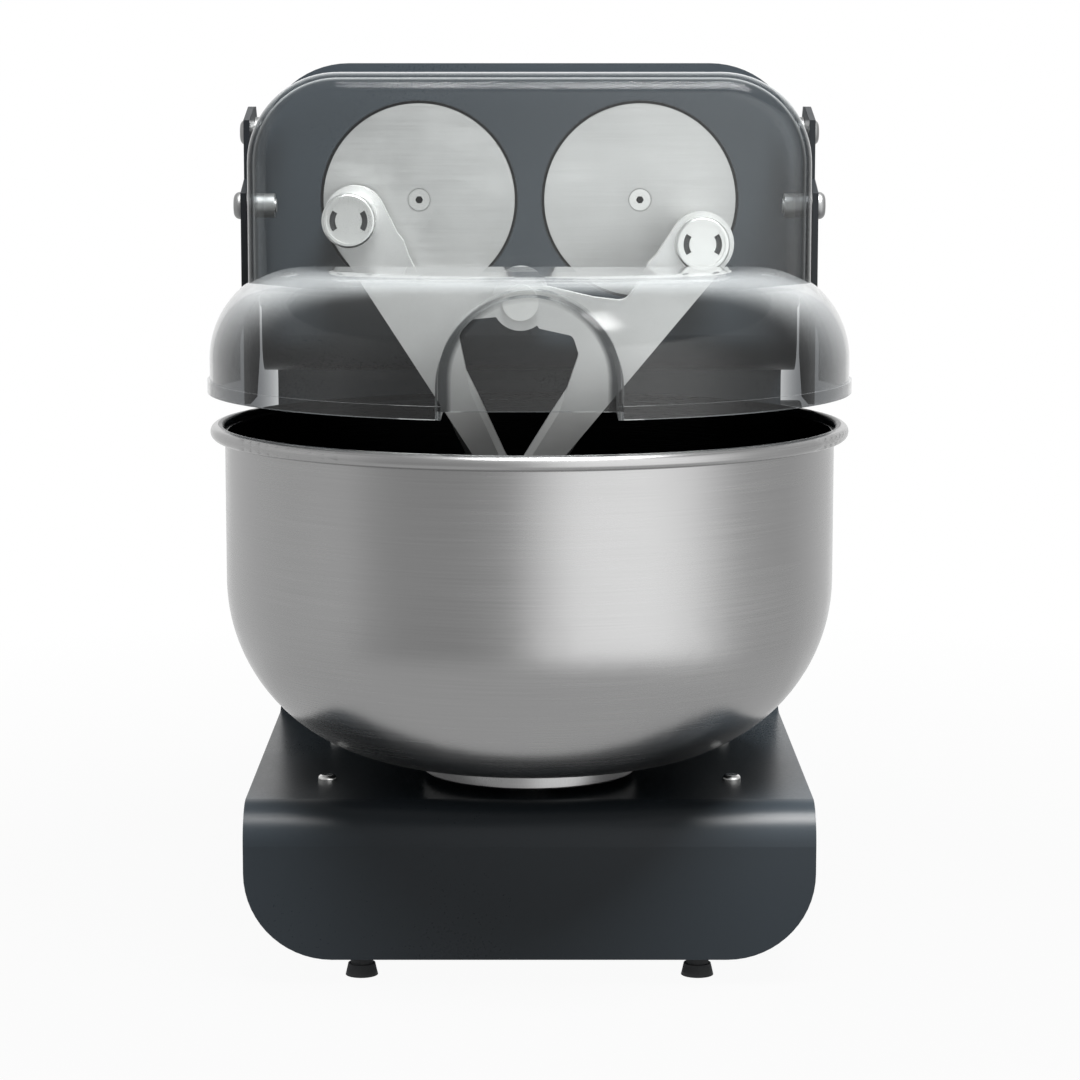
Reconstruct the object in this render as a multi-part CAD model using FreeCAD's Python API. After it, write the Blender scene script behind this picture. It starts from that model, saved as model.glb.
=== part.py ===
import FreeCAD, Part
import math
import os

os.makedirs("parts", exist_ok=True)
V = FreeCAD.Vector

# Driving sizes in millimetres. Depths are measured from the bowl axis, positive to the back.
BOWL_Y = -63.0
HALF_W = 156.0
FOOT_H = 15.0
BASE_TOP = 100.0
HEAD_LOW = 322.0
HEAD_ROOM = 12.6
BASE_FRONT = -86.0
FACE_Y = 80.0
COLUMN_Y = 198.0
BACK_Y = 300.0
TOP_R = 52.0
LOW_R = 48.0
BEND_R = 22.0
THROAT_R = 15.0
WALL = 2.5
REAR_T = 2.0
VENT_ROWS = 8
VENT_LOW = 230.0
VENT_PITCH = 12.0
VENT_H = 5.0
VENT_HALF_W = 70.0
REAR_SCREW_IN = 12.0
REAR_SCREW_Z = (90.0, 258.0, 430.0)
REAR_SCREW_R = 4.0
REAR_SCREW_H = 1.8
PAST = 1.0

CRANK_X = 64.0
CRANK_Z = 422.6
CRANK_R = 37.6
DISC_R = 55.4
DISC_T = 6.0
DISC_GAP = 1.8
PIN_R = 8.0
RUN = 0.05
DISC_SCREW_R = 6.2
DISC_SCREW_H = 3.0
DISC_SCREW_GAP = 0.5
HEX_R = 2.3
ANGLE_L = math.radians(193.7)
ANGLE_R = math.radians(-33.9)

PIVOT_DROP = 38.38
ARM_T = 10.0
ARM_BACK_Y = 60.0
ARM_FRONT_Y = -14.0
BOSS_R = 17.7
PIVOT_BOSS_R = 15.8
HUB_R = 13.0
PIVOT_R = 7.0
STEM_R = 9.0
STEM_GAP = 0.4
PASS_GAP = 0.8
SEAT_GAP = 0.2
KNOB_R = 15.0
KNOB_T = 9.5
KNOB_RIM = 2.6
KNOB_DISH = 1.5
KNOB_EDGE_R = 1.5
GRIP_IN_R = 7.4
GRIP_OUT_R = 10.6
GRIP_HALF_ANGLE = math.radians(34.0)
GRIP_DEPTH = 3.5
PIVOT_HEAD_R = 10.0
PIVOT_HEAD_H = 4.0
ARM_TILT = math.radians(32.3)
KNEE_AT = 124.0
KNEE_R = 10.75
SHANK_L = 116.0
SHANK_TURN = math.radians(7.5)
TIP_R = 9.5
SHANK_BEVEL = 3.6
SADDLE = ((15.4, -7.3), (31.2, 0.8), (47.8, 18.1), (65.5, 10.0), (91.0, -5.2))
SADDLE_R = 7.0
WEB = ((99.8, 17.1), (83.3, 26.7), (83.4, 37.5), (98.5, 58.0), (60.0, 48.0))
WEB_R = 4.5

RIM_R = 178.0
RIM_Z = 298.0
BEAD_R = 4.2
RIM_LIP = 8.0
BOWL_CORNER_R = 100.0
BOWL_LOW = 115.0
BOWL_T = 1.6
TABLE_R = 60.0
TABLE_LOW = 104.0
TABLE_T = 8.0
TABLE_EDGE_R = 1.2
DOG_AT = 40.0
DOG_R = 4.0
DOG_GAP = 0.5
FOOT_RING_IN = 6.0
FOOT_RING_T = 4.0
SPINDLE_R = 12.0
SPINDLE_GAP = 8.0

LID_LOW = 320.0
LID_TOP = 390.0
LID_SHOULDER_R = 52.0
LID_T = 3.0
LID_BACK = 54.0
FLANGE_OUT = 1.4
FLANGE_H = 7.0
HOOD_IN = 1.0
HOOD_EDGE_R = 14.0
HOOD_LOW_R = 5.0
HOOD_SINK = 30.0
HOOD_BELOW = 5.5
HOOD_R = 50.0
HOOD_FRONT = -32.0
HOOD_BACK = 70.0
NICHE_HALF_W = 45.0
NICHE_TOP = 381.0
NICHE_Y = -131.0

CHEEK_GAP = 5.0
CHEEK_T = 3.5
CHEEK_LOW = 306.0
CHEEK_CLEAR = 0.8
CHEEK_EAR = 15.0
HINGE_Y = 110.0
HINGE_Z = 461.0
HINGE_R = 5.0
HINGE_HEAD_R = 7.4
HINGE_SPACER_R = 9.0
HINGE_PLAY = 0.25
CLAMP_Y = 60.0
CLAMP_Z = 420.0
CLAMP_R = 4.0
CLAMP_PLAY = 0.3
CLAMP_HEAD_R = 7.8
SLEEVE_R = 8.0
NUT_R = 7.0
NUT_T = 6.0
HEAD_H = 5.0
HEAD_EDGE_R = 3.5

GEAR_MODULE = 2.0
ADDENDUM = 0.9
DEDENDUM = 1.2
GEAR_TEETH = 64
PINION_TEETH = 18
LAY_SIDE = 4.791
BACKLASH = 0.4
GEAR_Y = 112.0
GEAR_T = 14.0
SHAFT_R = 10.0
LAY_R = 8.0
PLATE_T = 8.0
FRONT_PLATE_Y = 96.0
REAR_PLATE_Y = 140.0
BEARING_RING = 5.0
SHAFT_PAST = 4.0

MOTOR_SIDE = 63.5
MOTOR_Z = 59.0
MOTOR_R = 36.0
MOTOR_Y0 = 60.0
MOTOR_Y1 = 240.0
MOTOR_SHAFT_R = 7.0
MOTOR_FLUTES = 12
FLUTE_R = 3.0
FLUTE_INSET = 20.0
CRADLE_T = 20.0
CRADLE_LEFT = 16.0
CRADLE_RIGHT = 30.0
CRADLE_DOWN = 12.0
WHEEL_R = 38.0
WORM_R = 9.0
MESH_GAP = 0.4
WORM_Z = 58.0
WORM_SHAFT_R = 6.0
WORM_HALF_L = 22.0
WORM_FRONT_Y = -42.0
WORM_BLOCK_Y = (-40.0, 28.0, 226.0)
WORM_BLOCK = 12.0
WHEEL_HALF_T = 8.0
SPINDLE_HOUSING_T = 24.0
SPINDLE_WALL = 20.0
BELT_T = 2.5
BELT_W = 10.0
BELT_GAP = 0.3
PULLEY_LIP = 4.0
PULLEY_LIP_T = 2.0
PULLEY_SIDE = 0.5
BELT_LOW_Y = 256.0
BELT_HIGH_Y = 274.0
SHAFT_END_Y = 292.0
MOTOR_PULLEY_R = 12.0
LAY_PULLEY_R = 28.0
WORM_PULLEY_R = 18.0

CONTROL_Y = 236.0
KNOB_Z = 276.0
START_Z = 240.0
STOP_Z = 208.0
BUTTON_R = 8.0
BUTTON_CLEAR = 0.4
BUTTON_OUT = 6.0
BUTTON_IN = 8.0
BUTTON_EDGE_R = 1.2
COLLAR_W = 4.0
COLLAR_T = 2.5
DIAL_R = 15.0
DIAL_T = 16.0
DIAL_GAP = 0.3
DIAL_EDGE_R = 2.0
DIAL_SHAFT_R = 3.0
DIAL_SHAFT_IN = 12.0
MARK_HALF_W = 0.8
MARK_DEPTH = 1.0
MARK_FROM = 3.0
PANEL_T = 50.0
PANEL_EDGE = 16.0
PANEL_END = 20.0
BORE_SPARE = 8.0
INLET_X = 96.0
INLET_Z = 60.0
INLET_HALF_W = 14.0
INLET_HALF_H = 10.0
INLET_DEPTH = 22.0
INLET_WALL = 2.0
INLET_FLOOR = 8.0
INLET_RIM_X = 6.0
INLET_RIM_Z = 3.0
INLET_RIM_T = 2.0
BLADES = ((-7.0, -2.0), (0.0, 2.0), (7.0, -2.0))
BLADE_HALF_T = 1.0
BLADE_HALF_H = 2.0
BLADE_L = 12.0
FOOT_X = 93.0
FOOT_Y = (-60.0, 268.0)
FOOT_R = 9.0
FOOT_PAD_H = 6.5
FOOT_TAPER = 1.5
FOOT_NECK_R = 6.0
SCREW_IN = 42.0
SCREW_Y = (-15.0, 97.0)
SCREW_R = 2.5
SCREW_GAP = 0.2
SCREW_HEAD_R = 5.2
SCREW_HEAD_H = 3.2
SCREW_EDGE_R = 2.2
SCREW_L = 8.0


def save(shape, node):
    """Move a finished shape from the bowl axis to the shared frame and write it."""
    placed = shape.copy()
    placed.translate(V(0, BOWL_Y, 0))
    placed.exportStep("parts/" + node + ".step")


def box(x0, x1, y0, y1, z0, z1):
    return Part.makeBox(x1 - x0, y1 - y0, z1 - z0, V(x0, y0, z0))


def rod(r, x, z, y0, y1):
    """A cylinder along the depth."""
    return Part.makeCylinder(r, y1 - y0, V(x, y0, z), V(0, 1, 0))


def post(r, x, y, z0, z1):
    """A cylinder that stands upright."""
    return Part.makeCylinder(r, z1 - z0, V(x, y, z0), V(0, 0, 1))


def across(r, x0, x1, y, z):
    """A cylinder along the width."""
    return Part.makeCylinder(r, x1 - x0, V(x0, y, z), V(1, 0, 0))


def mirror(shape):
    return shape.mirror(V(0, 0, 0), V(1, 0, 0))


def pair(shape):
    return Part.makeCompound([shape, mirror(shape)])


def fuse(first, others):
    return first.multiFuse(others).removeSplitter()


def outline(points):
    """A wire through points, where a triple of points is an arc's start, middle and end."""
    edges = []
    for item in points:
        if len(item) == 3:
            edges.append(Part.Arc(*item).toShape())
        else:
            edges.append(Part.LineSegment(*item).toShape())
    return Part.Wire(edges)


def corner_mid(cx, cy, r, angle):
    return cx + r * math.cos(math.radians(angle)), cy + r * math.sin(math.radians(angle))


def front_profile(half, low, top, low_r, top_r, y, depth):
    """A rounded rectangle seen from the front, pushed back along the depth."""
    def p(x, z):
        return V(x, y, z)
    a = corner_mid(half - low_r, low + low_r, low_r, -45)
    b = corner_mid(half - top_r, top - top_r, top_r, 45)
    wire = outline([
        (p(-half + low_r, low), p(half - low_r, low)),
        (p(half - low_r, low), p(*a), p(half, low + low_r)),
        (p(half, low + low_r), p(half, top - top_r)),
        (p(half, top - top_r), p(*b), p(half - top_r, top)),
        (p(half - top_r, top), p(-half + top_r, top)),
        (p(-half + top_r, top), p(-b[0], b[1]), p(-half, top - top_r)),
        (p(-half, top - top_r), p(-half, low + low_r)),
        (p(-half, low + low_r), p(-a[0], a[1]), p(-half + low_r, low)),
    ])
    return Part.Face(wire).extrude(V(0, depth, 0))


def body_solid(inset, back):
    """The C-shaped body, shrunk evenly by the inset, up to the given back plane."""
    front = BASE_FRONT + inset
    low = FOOT_H + inset
    shelf = BASE_TOP - inset
    column = COLUMN_Y + inset
    under = HEAD_LOW + inset
    face = FACE_Y + inset
    top = HEAD_TOP - inset
    bend = BEND_R - inset
    throat = THROAT_R + inset

    def p(y, z):
        return V(-HALF_W - PAST, y, z)
    m1 = corner_mid(front + bend, shelf - bend, bend, 135)
    m2 = corner_mid(column - throat, shelf + throat, throat, -45)
    m3 = corner_mid(column - throat, under - throat, throat, 45)
    m4 = corner_mid(face + bend, under + bend, bend, 225)
    wire = outline([
        (p(front, low), p(front, shelf - bend)),
        (p(front, shelf - bend), p(*m1), p(front + bend, shelf)),
        (p(front + bend, shelf), p(column - throat, shelf)),
        (p(column - throat, shelf), p(*m2), p(column, shelf + throat)),
        (p(column, shelf + throat), p(column, under - throat)),
        (p(column, under - throat), p(*m3), p(column - throat, under)),
        (p(column - throat, under), p(face + bend, under)),
        (p(face + bend, under), p(*m4), p(face, under + bend)),
        (p(face, under + bend), p(face, top)),
        (p(face, top), p(back, top)),
        (p(back, top), p(back, low)),
        (p(back, low), p(front, low)),
    ])
    side = Part.Face(wire).extrude(V(2 * (HALF_W + PAST), 0, 0))
    front_view = front_profile(HALF_W - inset, low, top, LOW_R - inset, TOP_R - inset,
                               front - PAST, back - front + 2 * PAST)
    return side.common(front_view)


def link(c1, r1, c2, r2, y, depth):
    """A flat bar around two circles, drawn in the front view."""
    dx = c2[0] - c1[0]
    dz = c2[1] - c1[1]
    base = math.atan2(dz, dx)
    spread = math.acos((r1 - r2) / math.hypot(dx, dz))

    def p(c, r, angle):
        return V(c[0] + r * math.cos(angle), y, c[1] + r * math.sin(angle))
    wire = outline([
        (p(c1, r1, base + spread), p(c2, r2, base + spread)),
        (p(c2, r2, base + spread), p(c2, r2, base), p(c2, r2, base - spread)),
        (p(c2, r2, base - spread), p(c1, r1, base - spread)),
        (p(c1, r1, base - spread), p(c1, r1, base + math.pi), p(c1, r1, base + spread)),
    ])
    return Part.Face(wire).extrude(V(0, depth, 0))


def slab(points, y, depth):
    """A flat polygon drawn in the front view."""
    corners = [V(x, y, z) for x, z in points]
    return Part.Face(Part.makePolygon(corners + corners[:1])).extrude(V(0, depth, 0))


def gear(teeth, phase, x, z, bore):
    """A spur gear with involute flanks around a bore."""
    pitch = GEAR_MODULE * teeth / 2
    base = pitch * math.cos(math.radians(20))
    tip = pitch + ADDENDUM * GEAR_MODULE
    root = pitch - DEDENDUM * GEAR_MODULE

    def involute(r):
        a = math.acos(min(1.0, base / r))
        return math.tan(a) - a
    half = math.pi / (2 * teeth) - BACKLASH / (2 * pitch)

    def flank(r):
        return half + involute(pitch) - involute(max(r, base))
    points = []
    for k in range(teeth):
        centre = phase + 2 * math.pi * k / teeth
        for r, side in ((root, -1), (pitch, -1), (tip, -1), (tip, 1), (pitch, 1), (root, 1)):
            angle = centre + side * flank(r)
            points.append((x + r * math.cos(angle), z + r * math.sin(angle)))
    return slab(points, GEAR_Y, GEAR_T).cut(rod(bore, x, z, GEAR_Y - PAST, GEAR_Y + GEAR_T + PAST))


def pulley(r, x, z, y, bore):
    """A flanged belt pulley around a shaft."""
    low = y - PULLEY_SIDE
    high = y + BELT_W + PULLEY_SIDE
    drum = rod(r, x, z, low - PULLEY_LIP_T, high + PULLEY_LIP_T)
    lips = [rod(r + PULLEY_LIP, x, z, low - PULLEY_LIP_T, low),
            rod(r + PULLEY_LIP, x, z, high, high + PULLEY_LIP_T)]
    return fuse(drum, lips).cut(rod(bore, x, z, low - PULLEY_LIP_T - PAST, high + PULLEY_LIP_T + PAST))


def belt(c1, r1, c2, r2, y):
    """A flat belt loop that runs just clear of its two pulleys."""
    outer = link(c1, r1 + BELT_GAP + BELT_T, c2, r2 + BELT_GAP + BELT_T, y, BELT_W)
    return outer.cut(link(c1, r1 + BELT_GAP, c2, r2 + BELT_GAP, y, BELT_W))


def turned(points):
    """A body of revolution about the bowl axis from radius and height pairs or arc triples."""
    wire = outline([tuple(V(r, 0, z) for r, z in item) for item in points])
    return Part.Face(wire).revolve(V(0, 0, 0), V(0, 0, 1), 360)


# Sizes and places that follow from the ones above.
BOWL_R = RIM_R - RIM_LIP
LID_R = RIM_R
FLANGE_R = LID_R + FLANGE_OUT
HOOD_HALF_W = HALF_W - HOOD_IN
CHEEK_X = HALF_W + CHEEK_GAP
REAR_Y = BACK_Y + REAR_T
wide = 2 * LID_R
pin_l = (-CRANK_X + CRANK_R * math.cos(ANGLE_L), CRANK_Z + CRANK_R * math.sin(ANGLE_L))
pin_r = (CRANK_X + CRANK_R * math.cos(ANGLE_R), CRANK_Z + CRANK_R * math.sin(ANGLE_R))
span = math.hypot(pin_r[0] - pin_l[0], pin_r[1] - pin_l[1])
ARM_REACH = math.hypot(span / 2, PIVOT_DROP)
away = ((pin_r[1] - pin_l[1]) / span, -(pin_r[0] - pin_l[0]) / span)
pivot = ((pin_l[0] + pin_r[0]) / 2 + PIVOT_DROP * away[0], (pin_l[1] + pin_r[1]) / 2 + PIVOT_DROP * away[1])
gear_pitch = GEAR_MODULE * GEAR_TEETH / 2
pinion_pitch = GEAR_MODULE * PINION_TEETH / 2
mesh = gear_pitch + pinion_pitch
inner_x = HALF_W - WALL
lay_x = inner_x - LAY_SIDE - LAY_PULLEY_R - PULLEY_LIP
PINION_ANGLE = -math.acos((lay_x - CRANK_X) / mesh)
lay = (lay_x, CRANK_Z + mesh * math.sin(PINION_ANGLE))
HEAD_TOP = CRANK_Z + gear_pitch + ADDENDUM * GEAR_MODULE + HEAD_ROOM
HOOD_TOP = HEAD_TOP - HOOD_BELOW
worm_x = WHEEL_R + WORM_R + MESH_GAP
MOTOR_X = MOTOR_SIDE - inner_x
SCREW_X = HALF_W - SCREW_IN
motor = (MOTOR_X, MOTOR_Z)
worm = (worm_x, WORM_Z)
knob_l_y = ARM_FRONT_Y + ARM_T + PASS_GAP
knob_r_y = ARM_FRONT_Y - SEAT_GAP - KNOB_T
hub_l_y = knob_l_y + KNOB_T + SEAT_GAP

# Housing: one folded and welded shell, open at the back.
housing = body_solid(0, BACK_Y).cut(body_solid(WALL, BACK_Y + WALL))
cuts = [rod(DISC_R + DISC_GAP, sx * CRANK_X, CRANK_Z, FACE_Y - PAST, FACE_Y + WALL + PAST)
        for sx in (-1, 1)]
cuts.append(post(SPINDLE_R + SPINDLE_GAP, 0, 0, BASE_TOP - WALL - PAST, BASE_TOP + PAST))
cuts += [across(HINGE_R, sx * HALF_W - WALL - PAST, sx * HALF_W + WALL + PAST, HINGE_Y, HINGE_Z)
         for sx in (-1, 1)]
cuts += [across(BUTTON_R + BUTTON_CLEAR, inner_x - PAST, HALF_W + PAST, CONTROL_Y, z)
         for z in (START_Z, STOP_Z)]
cuts.append(across(DIAL_SHAFT_R + RUN, inner_x - PAST, HALF_W + PAST, CONTROL_Y, KNOB_Z))
cuts += [post(SCREW_R + SCREW_GAP, sx * SCREW_X, y, BASE_TOP - WALL - PAST, BASE_TOP + PAST)
         for sx in (-1, 1) for y in SCREW_Y]
for cut in cuts:
    housing = housing.cut(cut)
save(housing, "housing")

rear = front_profile(HALF_W, FOOT_H, HEAD_TOP, LOW_R, TOP_R, BACK_Y, REAR_T)
for row in range(VENT_ROWS):
    slot_z = VENT_LOW + VENT_PITCH * row
    rear = rear.cut(box(-VENT_HALF_W, VENT_HALF_W, BACK_Y - PAST, REAR_Y + PAST, slot_z, slot_z + VENT_H))
inlet = (INLET_X - INLET_HALF_W, INLET_X + INLET_HALF_W)
inlet_low = INLET_Z - INLET_HALF_H
inlet_high = INLET_Z + INLET_HALF_H
rear = rear.cut(box(*inlet, BACK_Y - PAST, REAR_Y + PAST, inlet_low, inlet_high))
save(rear, "rear_cover")

heads = []
for sx in (-1, 1):
    for z in REAR_SCREW_Z:
        heads.append(rod(REAR_SCREW_R, sx * (HALF_W - REAR_SCREW_IN), z, REAR_Y, REAR_Y + REAR_SCREW_H))
save(Part.makeCompound(heads), "rear_screws")

cup = box(*inlet, BACK_Y - INLET_DEPTH, REAR_Y, inlet_low, inlet_high)
rim = box(inlet[0] - INLET_RIM_X, inlet[1] + INLET_RIM_X, REAR_Y, REAR_Y + INLET_RIM_T,
          inlet_low - INLET_RIM_Z, inlet_high + INLET_RIM_Z)
cup_floor = BACK_Y - INLET_DEPTH + INLET_FLOOR
mouth = box(inlet[0] + INLET_WALL, inlet[1] - INLET_WALL, cup_floor, REAR_Y + INLET_RIM_T + PAST,
            inlet_low + INLET_WALL, inlet_high - INLET_WALL)
cup = fuse(cup, [rim]).cut(mouth)
blades = [box(INLET_X + dx - BLADE_HALF_T, INLET_X + dx + BLADE_HALF_T, cup_floor - PAST, cup_floor + BLADE_L,
              INLET_Z + dz - BLADE_HALF_H, INLET_Z + dz + BLADE_HALF_H) for dx, dz in BLADES]
save(fuse(cup, blades), "power_inlet")

feet = []
for sx in (-1, 1):
    for y in FOOT_Y:
        pad = Part.makeCone(FOOT_R, FOOT_R - FOOT_TAPER, FOOT_PAD_H, V(sx * FOOT_X, y, 0), V(0, 0, 1))
        neck = Part.makeCone(FOOT_NECK_R, FOOT_NECK_R + FOOT_TAPER, FOOT_H - FOOT_PAD_H,
                             V(sx * FOOT_X, y, FOOT_PAD_H), V(0, 0, 1))
        feet.append(fuse(pad, [neck]))
save(Part.makeCompound(feet), "feet")

screws = []
for sx in (-1, 1):
    for y in SCREW_Y:
        head = post(SCREW_HEAD_R, sx * SCREW_X, y, BASE_TOP, BASE_TOP + SCREW_HEAD_H)
        head = head.makeFillet(SCREW_EDGE_R, [head.Edges[0]])
        screws.append(fuse(head, [post(SCREW_R, sx * SCREW_X, y, BASE_TOP - SCREW_L, BASE_TOP)]))
save(Part.makeCompound(screws), "base_screws")

# Head gear train.
for node, y in (("bearing_plate_front", FRONT_PLATE_Y), ("bearing_plate_rear", REAR_PLATE_Y)):
    zone = box(-HALF_W, HALF_W, y, y + PLATE_T, HEAD_LOW, HEAD_TOP)
    plate = body_solid(WALL, BACK_Y).common(zone)
    for sx in (-1, 1):
        plate = plate.cut(rod(SHAFT_R + BEARING_RING, sx * CRANK_X, CRANK_Z, y - PAST, y + PLATE_T + PAST))
    plate = plate.cut(rod(LAY_R + BEARING_RING, lay[0], lay[1], y - PAST, y + PLATE_T + PAST))
    save(plate, node)

rings = []
for y in (FRONT_PLATE_Y, REAR_PLATE_Y):
    for r, x, z in ((SHAFT_R, -CRANK_X, CRANK_Z), (SHAFT_R, CRANK_X, CRANK_Z), (LAY_R, lay[0], lay[1])):
        bush = rod(r + BEARING_RING, x, z, y, y + PLATE_T)
        rings.append(bush.cut(rod(r + RUN, x, z, y - PAST, y + PLATE_T + PAST)))
save(Part.makeCompound(rings), "head_bearings")

for side, sx, pin, pin_end, phase in (
    ("left", -1, pin_l, hub_l_y, 0.0),
    ("right", 1, pin_r, ARM_FRONT_Y, math.pi / GEAR_TEETH),
):
    x = sx * CRANK_X
    disc = rod(DISC_R, x, CRANK_Z, FACE_Y, FACE_Y + DISC_T)
    disc = disc.cut(rod(DISC_SCREW_R + DISC_SCREW_GAP, x, CRANK_Z, FACE_Y - PAST, FACE_Y + DISC_SCREW_H))
    disc = disc.cut(rod(PIN_R, pin[0], pin[1], FACE_Y - PAST, FACE_Y + DISC_T + PAST))
    save(disc, "crank_disc_" + side)
    save(rod(SHAFT_R, x, CRANK_Z, FACE_Y + DISC_T, REAR_PLATE_Y + PLATE_T + SHAFT_PAST), "crank_shaft_" + side)
    save(gear(GEAR_TEETH, phase, x, CRANK_Z, SHAFT_R), "crank_gear_" + side)
    save(rod(PIN_R, pin[0], pin[1], pin_end, FACE_Y + DISC_T), "crank_pin_" + side)
    bolt = rod(DISC_SCREW_R, x, CRANK_Z, FACE_Y, FACE_Y + DISC_SCREW_H)
    hexagon = [(x + HEX_R * math.cos(math.pi * k / 3), CRANK_Z + HEX_R * math.sin(math.pi * k / 3))
               for k in range(6)]
    save(bolt.cut(slab(hexagon, FACE_Y - PAST, DISC_SCREW_H)), "disc_screw_" + side)

tooth = 2 * math.pi / GEAR_TEETH
lag = (PINION_ANGLE - math.pi / GEAR_TEETH) % tooth
lead = -(gear_pitch * -lag + math.pi * GEAR_MODULE / 2) / pinion_pitch
save(gear(PINION_TEETH, PINION_ANGLE + math.pi + lead, lay[0], lay[1], LAY_R), "drive_pinion")
save(rod(LAY_R, lay[0], lay[1], FRONT_PLATE_Y - PAST, SHAFT_END_Y), "lay_shaft")
save(pulley(LAY_PULLEY_R, lay[0], lay[1], BELT_HIGH_Y, LAY_R), "lay_pulley")

# Motor, belts and the bowl drive in the base.
solid_motor = rod(MOTOR_R, MOTOR_X, MOTOR_Z, MOTOR_Y0, MOTOR_Y1)
case = solid_motor
for k in range(MOTOR_FLUTES):
    angle = 2 * math.pi * k / MOTOR_FLUTES
    flute_x = MOTOR_X + (MOTOR_R + PAST) * math.cos(angle)
    flute_z = MOTOR_Z + (MOTOR_R + PAST) * math.sin(angle)
    flute_end = MOTOR_Y1 - FLUTE_INSET - CRADLE_T / 2
    case = case.cut(rod(FLUTE_R, flute_x, flute_z, MOTOR_Y0 + FLUTE_INSET, flute_end))
shaft_in = MOTOR_Y1 - 2 * CRADLE_T
save(case.cut(rod(MOTOR_SHAFT_R + RUN, MOTOR_X, MOTOR_Z, shaft_in - PAST, MOTOR_Y1 + PAST)), "motor")
floor = FOOT_H + WALL
cradles = []
for y in (MOTOR_Y0, MOTOR_Y1 - CRADLE_T):
    saddle = box(MOTOR_X - CRADLE_LEFT, MOTOR_X + CRADLE_RIGHT, y, y + CRADLE_T, floor, MOTOR_Z - CRADLE_DOWN)
    cradles.append(saddle.cut(solid_motor))
save(Part.makeCompound(cradles), "motor_cradle")
save(rod(MOTOR_SHAFT_R, MOTOR_X, MOTOR_Z, shaft_in, SHAFT_END_Y), "motor_shaft")
low_pulley = pulley(MOTOR_PULLEY_R, MOTOR_X, MOTOR_Z, BELT_LOW_Y, MOTOR_SHAFT_R)
high_pulley = pulley(MOTOR_PULLEY_R, MOTOR_X, MOTOR_Z, BELT_HIGH_Y, MOTOR_SHAFT_R)
save(Part.makeCompound([low_pulley, high_pulley]), "motor_pulleys")
save(belt(motor, MOTOR_PULLEY_R, lay, LAY_PULLEY_R, BELT_HIGH_Y), "head_belt")
save(belt(motor, MOTOR_PULLEY_R, worm, WORM_PULLEY_R, BELT_LOW_Y), "bowl_belt")

thread = rod(WORM_R, worm_x, WORM_Z, -WORM_HALF_L, WORM_HALF_L)
save(fuse(rod(WORM_SHAFT_R, worm_x, WORM_Z, WORM_FRONT_Y, SHAFT_END_Y - BELT_W), [thread]), "worm_shaft")
save(pulley(WORM_PULLEY_R, worm_x, WORM_Z, BELT_LOW_Y, WORM_SHAFT_R), "worm_pulley")
blocks = []
for y in WORM_BLOCK_Y:
    block = box(worm_x - WORM_BLOCK, worm_x + WORM_BLOCK, y, y + WORM_BLOCK, floor, WORM_Z + WORM_BLOCK)
    blocks.append(block.cut(rod(WORM_SHAFT_R + RUN, worm_x, WORM_Z, y - PAST, y + WORM_BLOCK + PAST)))
save(Part.makeCompound(blocks), "worm_bearings")

shelf_low = BASE_TOP - WALL
collar = post(SPINDLE_R + SPINDLE_WALL, 0, 0, shelf_low - SPINDLE_HOUSING_T, shelf_low)
collar = collar.cut(post(SPINDLE_R + RUN, 0, 0, shelf_low - SPINDLE_HOUSING_T - PAST, shelf_low + PAST))
save(collar, "spindle_housing")
wheel = post(WHEEL_R, 0, 0, WORM_Z - WHEEL_HALF_T, WORM_Z + WHEEL_HALF_T)
wheel = wheel.cut(post(SPINDLE_R, 0, 0, WORM_Z - WHEEL_HALF_T - PAST, WORM_Z + WHEEL_HALF_T + PAST))
save(wheel, "worm_wheel")
save(post(SPINDLE_R, 0, 0, WORM_Z - WHEEL_HALF_T - SHAFT_PAST, TABLE_LOW), "bowl_spindle")
table_top = TABLE_LOW + TABLE_T
table = post(TABLE_R, 0, 0, TABLE_LOW, table_top)
table = table.makeFillet(TABLE_EDGE_R, [e for e in table.Edges if e.Length > TABLE_R])
dogs = [post(DOG_R, DOG_AT * math.cos(a), DOG_AT * math.sin(a), table_top, BOWL_LOW - DOG_GAP)
        for a in (0, 2 * math.pi / 3, 4 * math.pi / 3)]
save(fuse(table, dogs), "turntable")

# Bowl: drawn shell with a rolled bead and a foot ring that keys on the turntable.
bend_z = BOWL_LOW + BOWL_CORNER_R
flat_r = BOWL_R - BOWL_CORNER_R
inner_r = BOWL_CORNER_R - BOWL_T
outer_mid = corner_mid(flat_r, bend_z, BOWL_CORNER_R, -45)
inner_mid = corner_mid(flat_r, bend_z, inner_r, -45)
shell = turned([
    ((0, BOWL_LOW), (flat_r, BOWL_LOW)),
    ((flat_r, BOWL_LOW), outer_mid, (BOWL_R, bend_z)),
    ((BOWL_R, bend_z), (BOWL_R, RIM_Z)),
    ((BOWL_R, RIM_Z), (BOWL_R - BOWL_T, RIM_Z)),
    ((BOWL_R - BOWL_T, RIM_Z), (BOWL_R - BOWL_T, bend_z)),
    ((BOWL_R - BOWL_T, bend_z), inner_mid, (flat_r, BOWL_LOW + BOWL_T)),
    ((flat_r, BOWL_LOW + BOWL_T), (0, BOWL_LOW + BOWL_T)),
    ((0, BOWL_LOW + BOWL_T), (0, BOWL_LOW)),
])
bead = Part.makeTorus(RIM_R - BEAD_R, BEAD_R, V(0, 0, RIM_Z), V(0, 0, 1))
ring_r = TABLE_R - FOOT_RING_IN
foot_ring = post(ring_r, 0, 0, table_top, BOWL_LOW)
foot_ring = foot_ring.cut(post(ring_r - FOOT_RING_T, 0, 0, table_top - PAST, BOWL_LOW + PAST))
save(fuse(shell, [bead, foot_ring]), "bowl")

# Arms. Each is set out from its crank pin: u runs to the shared pivot, v to the outer side.


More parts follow.
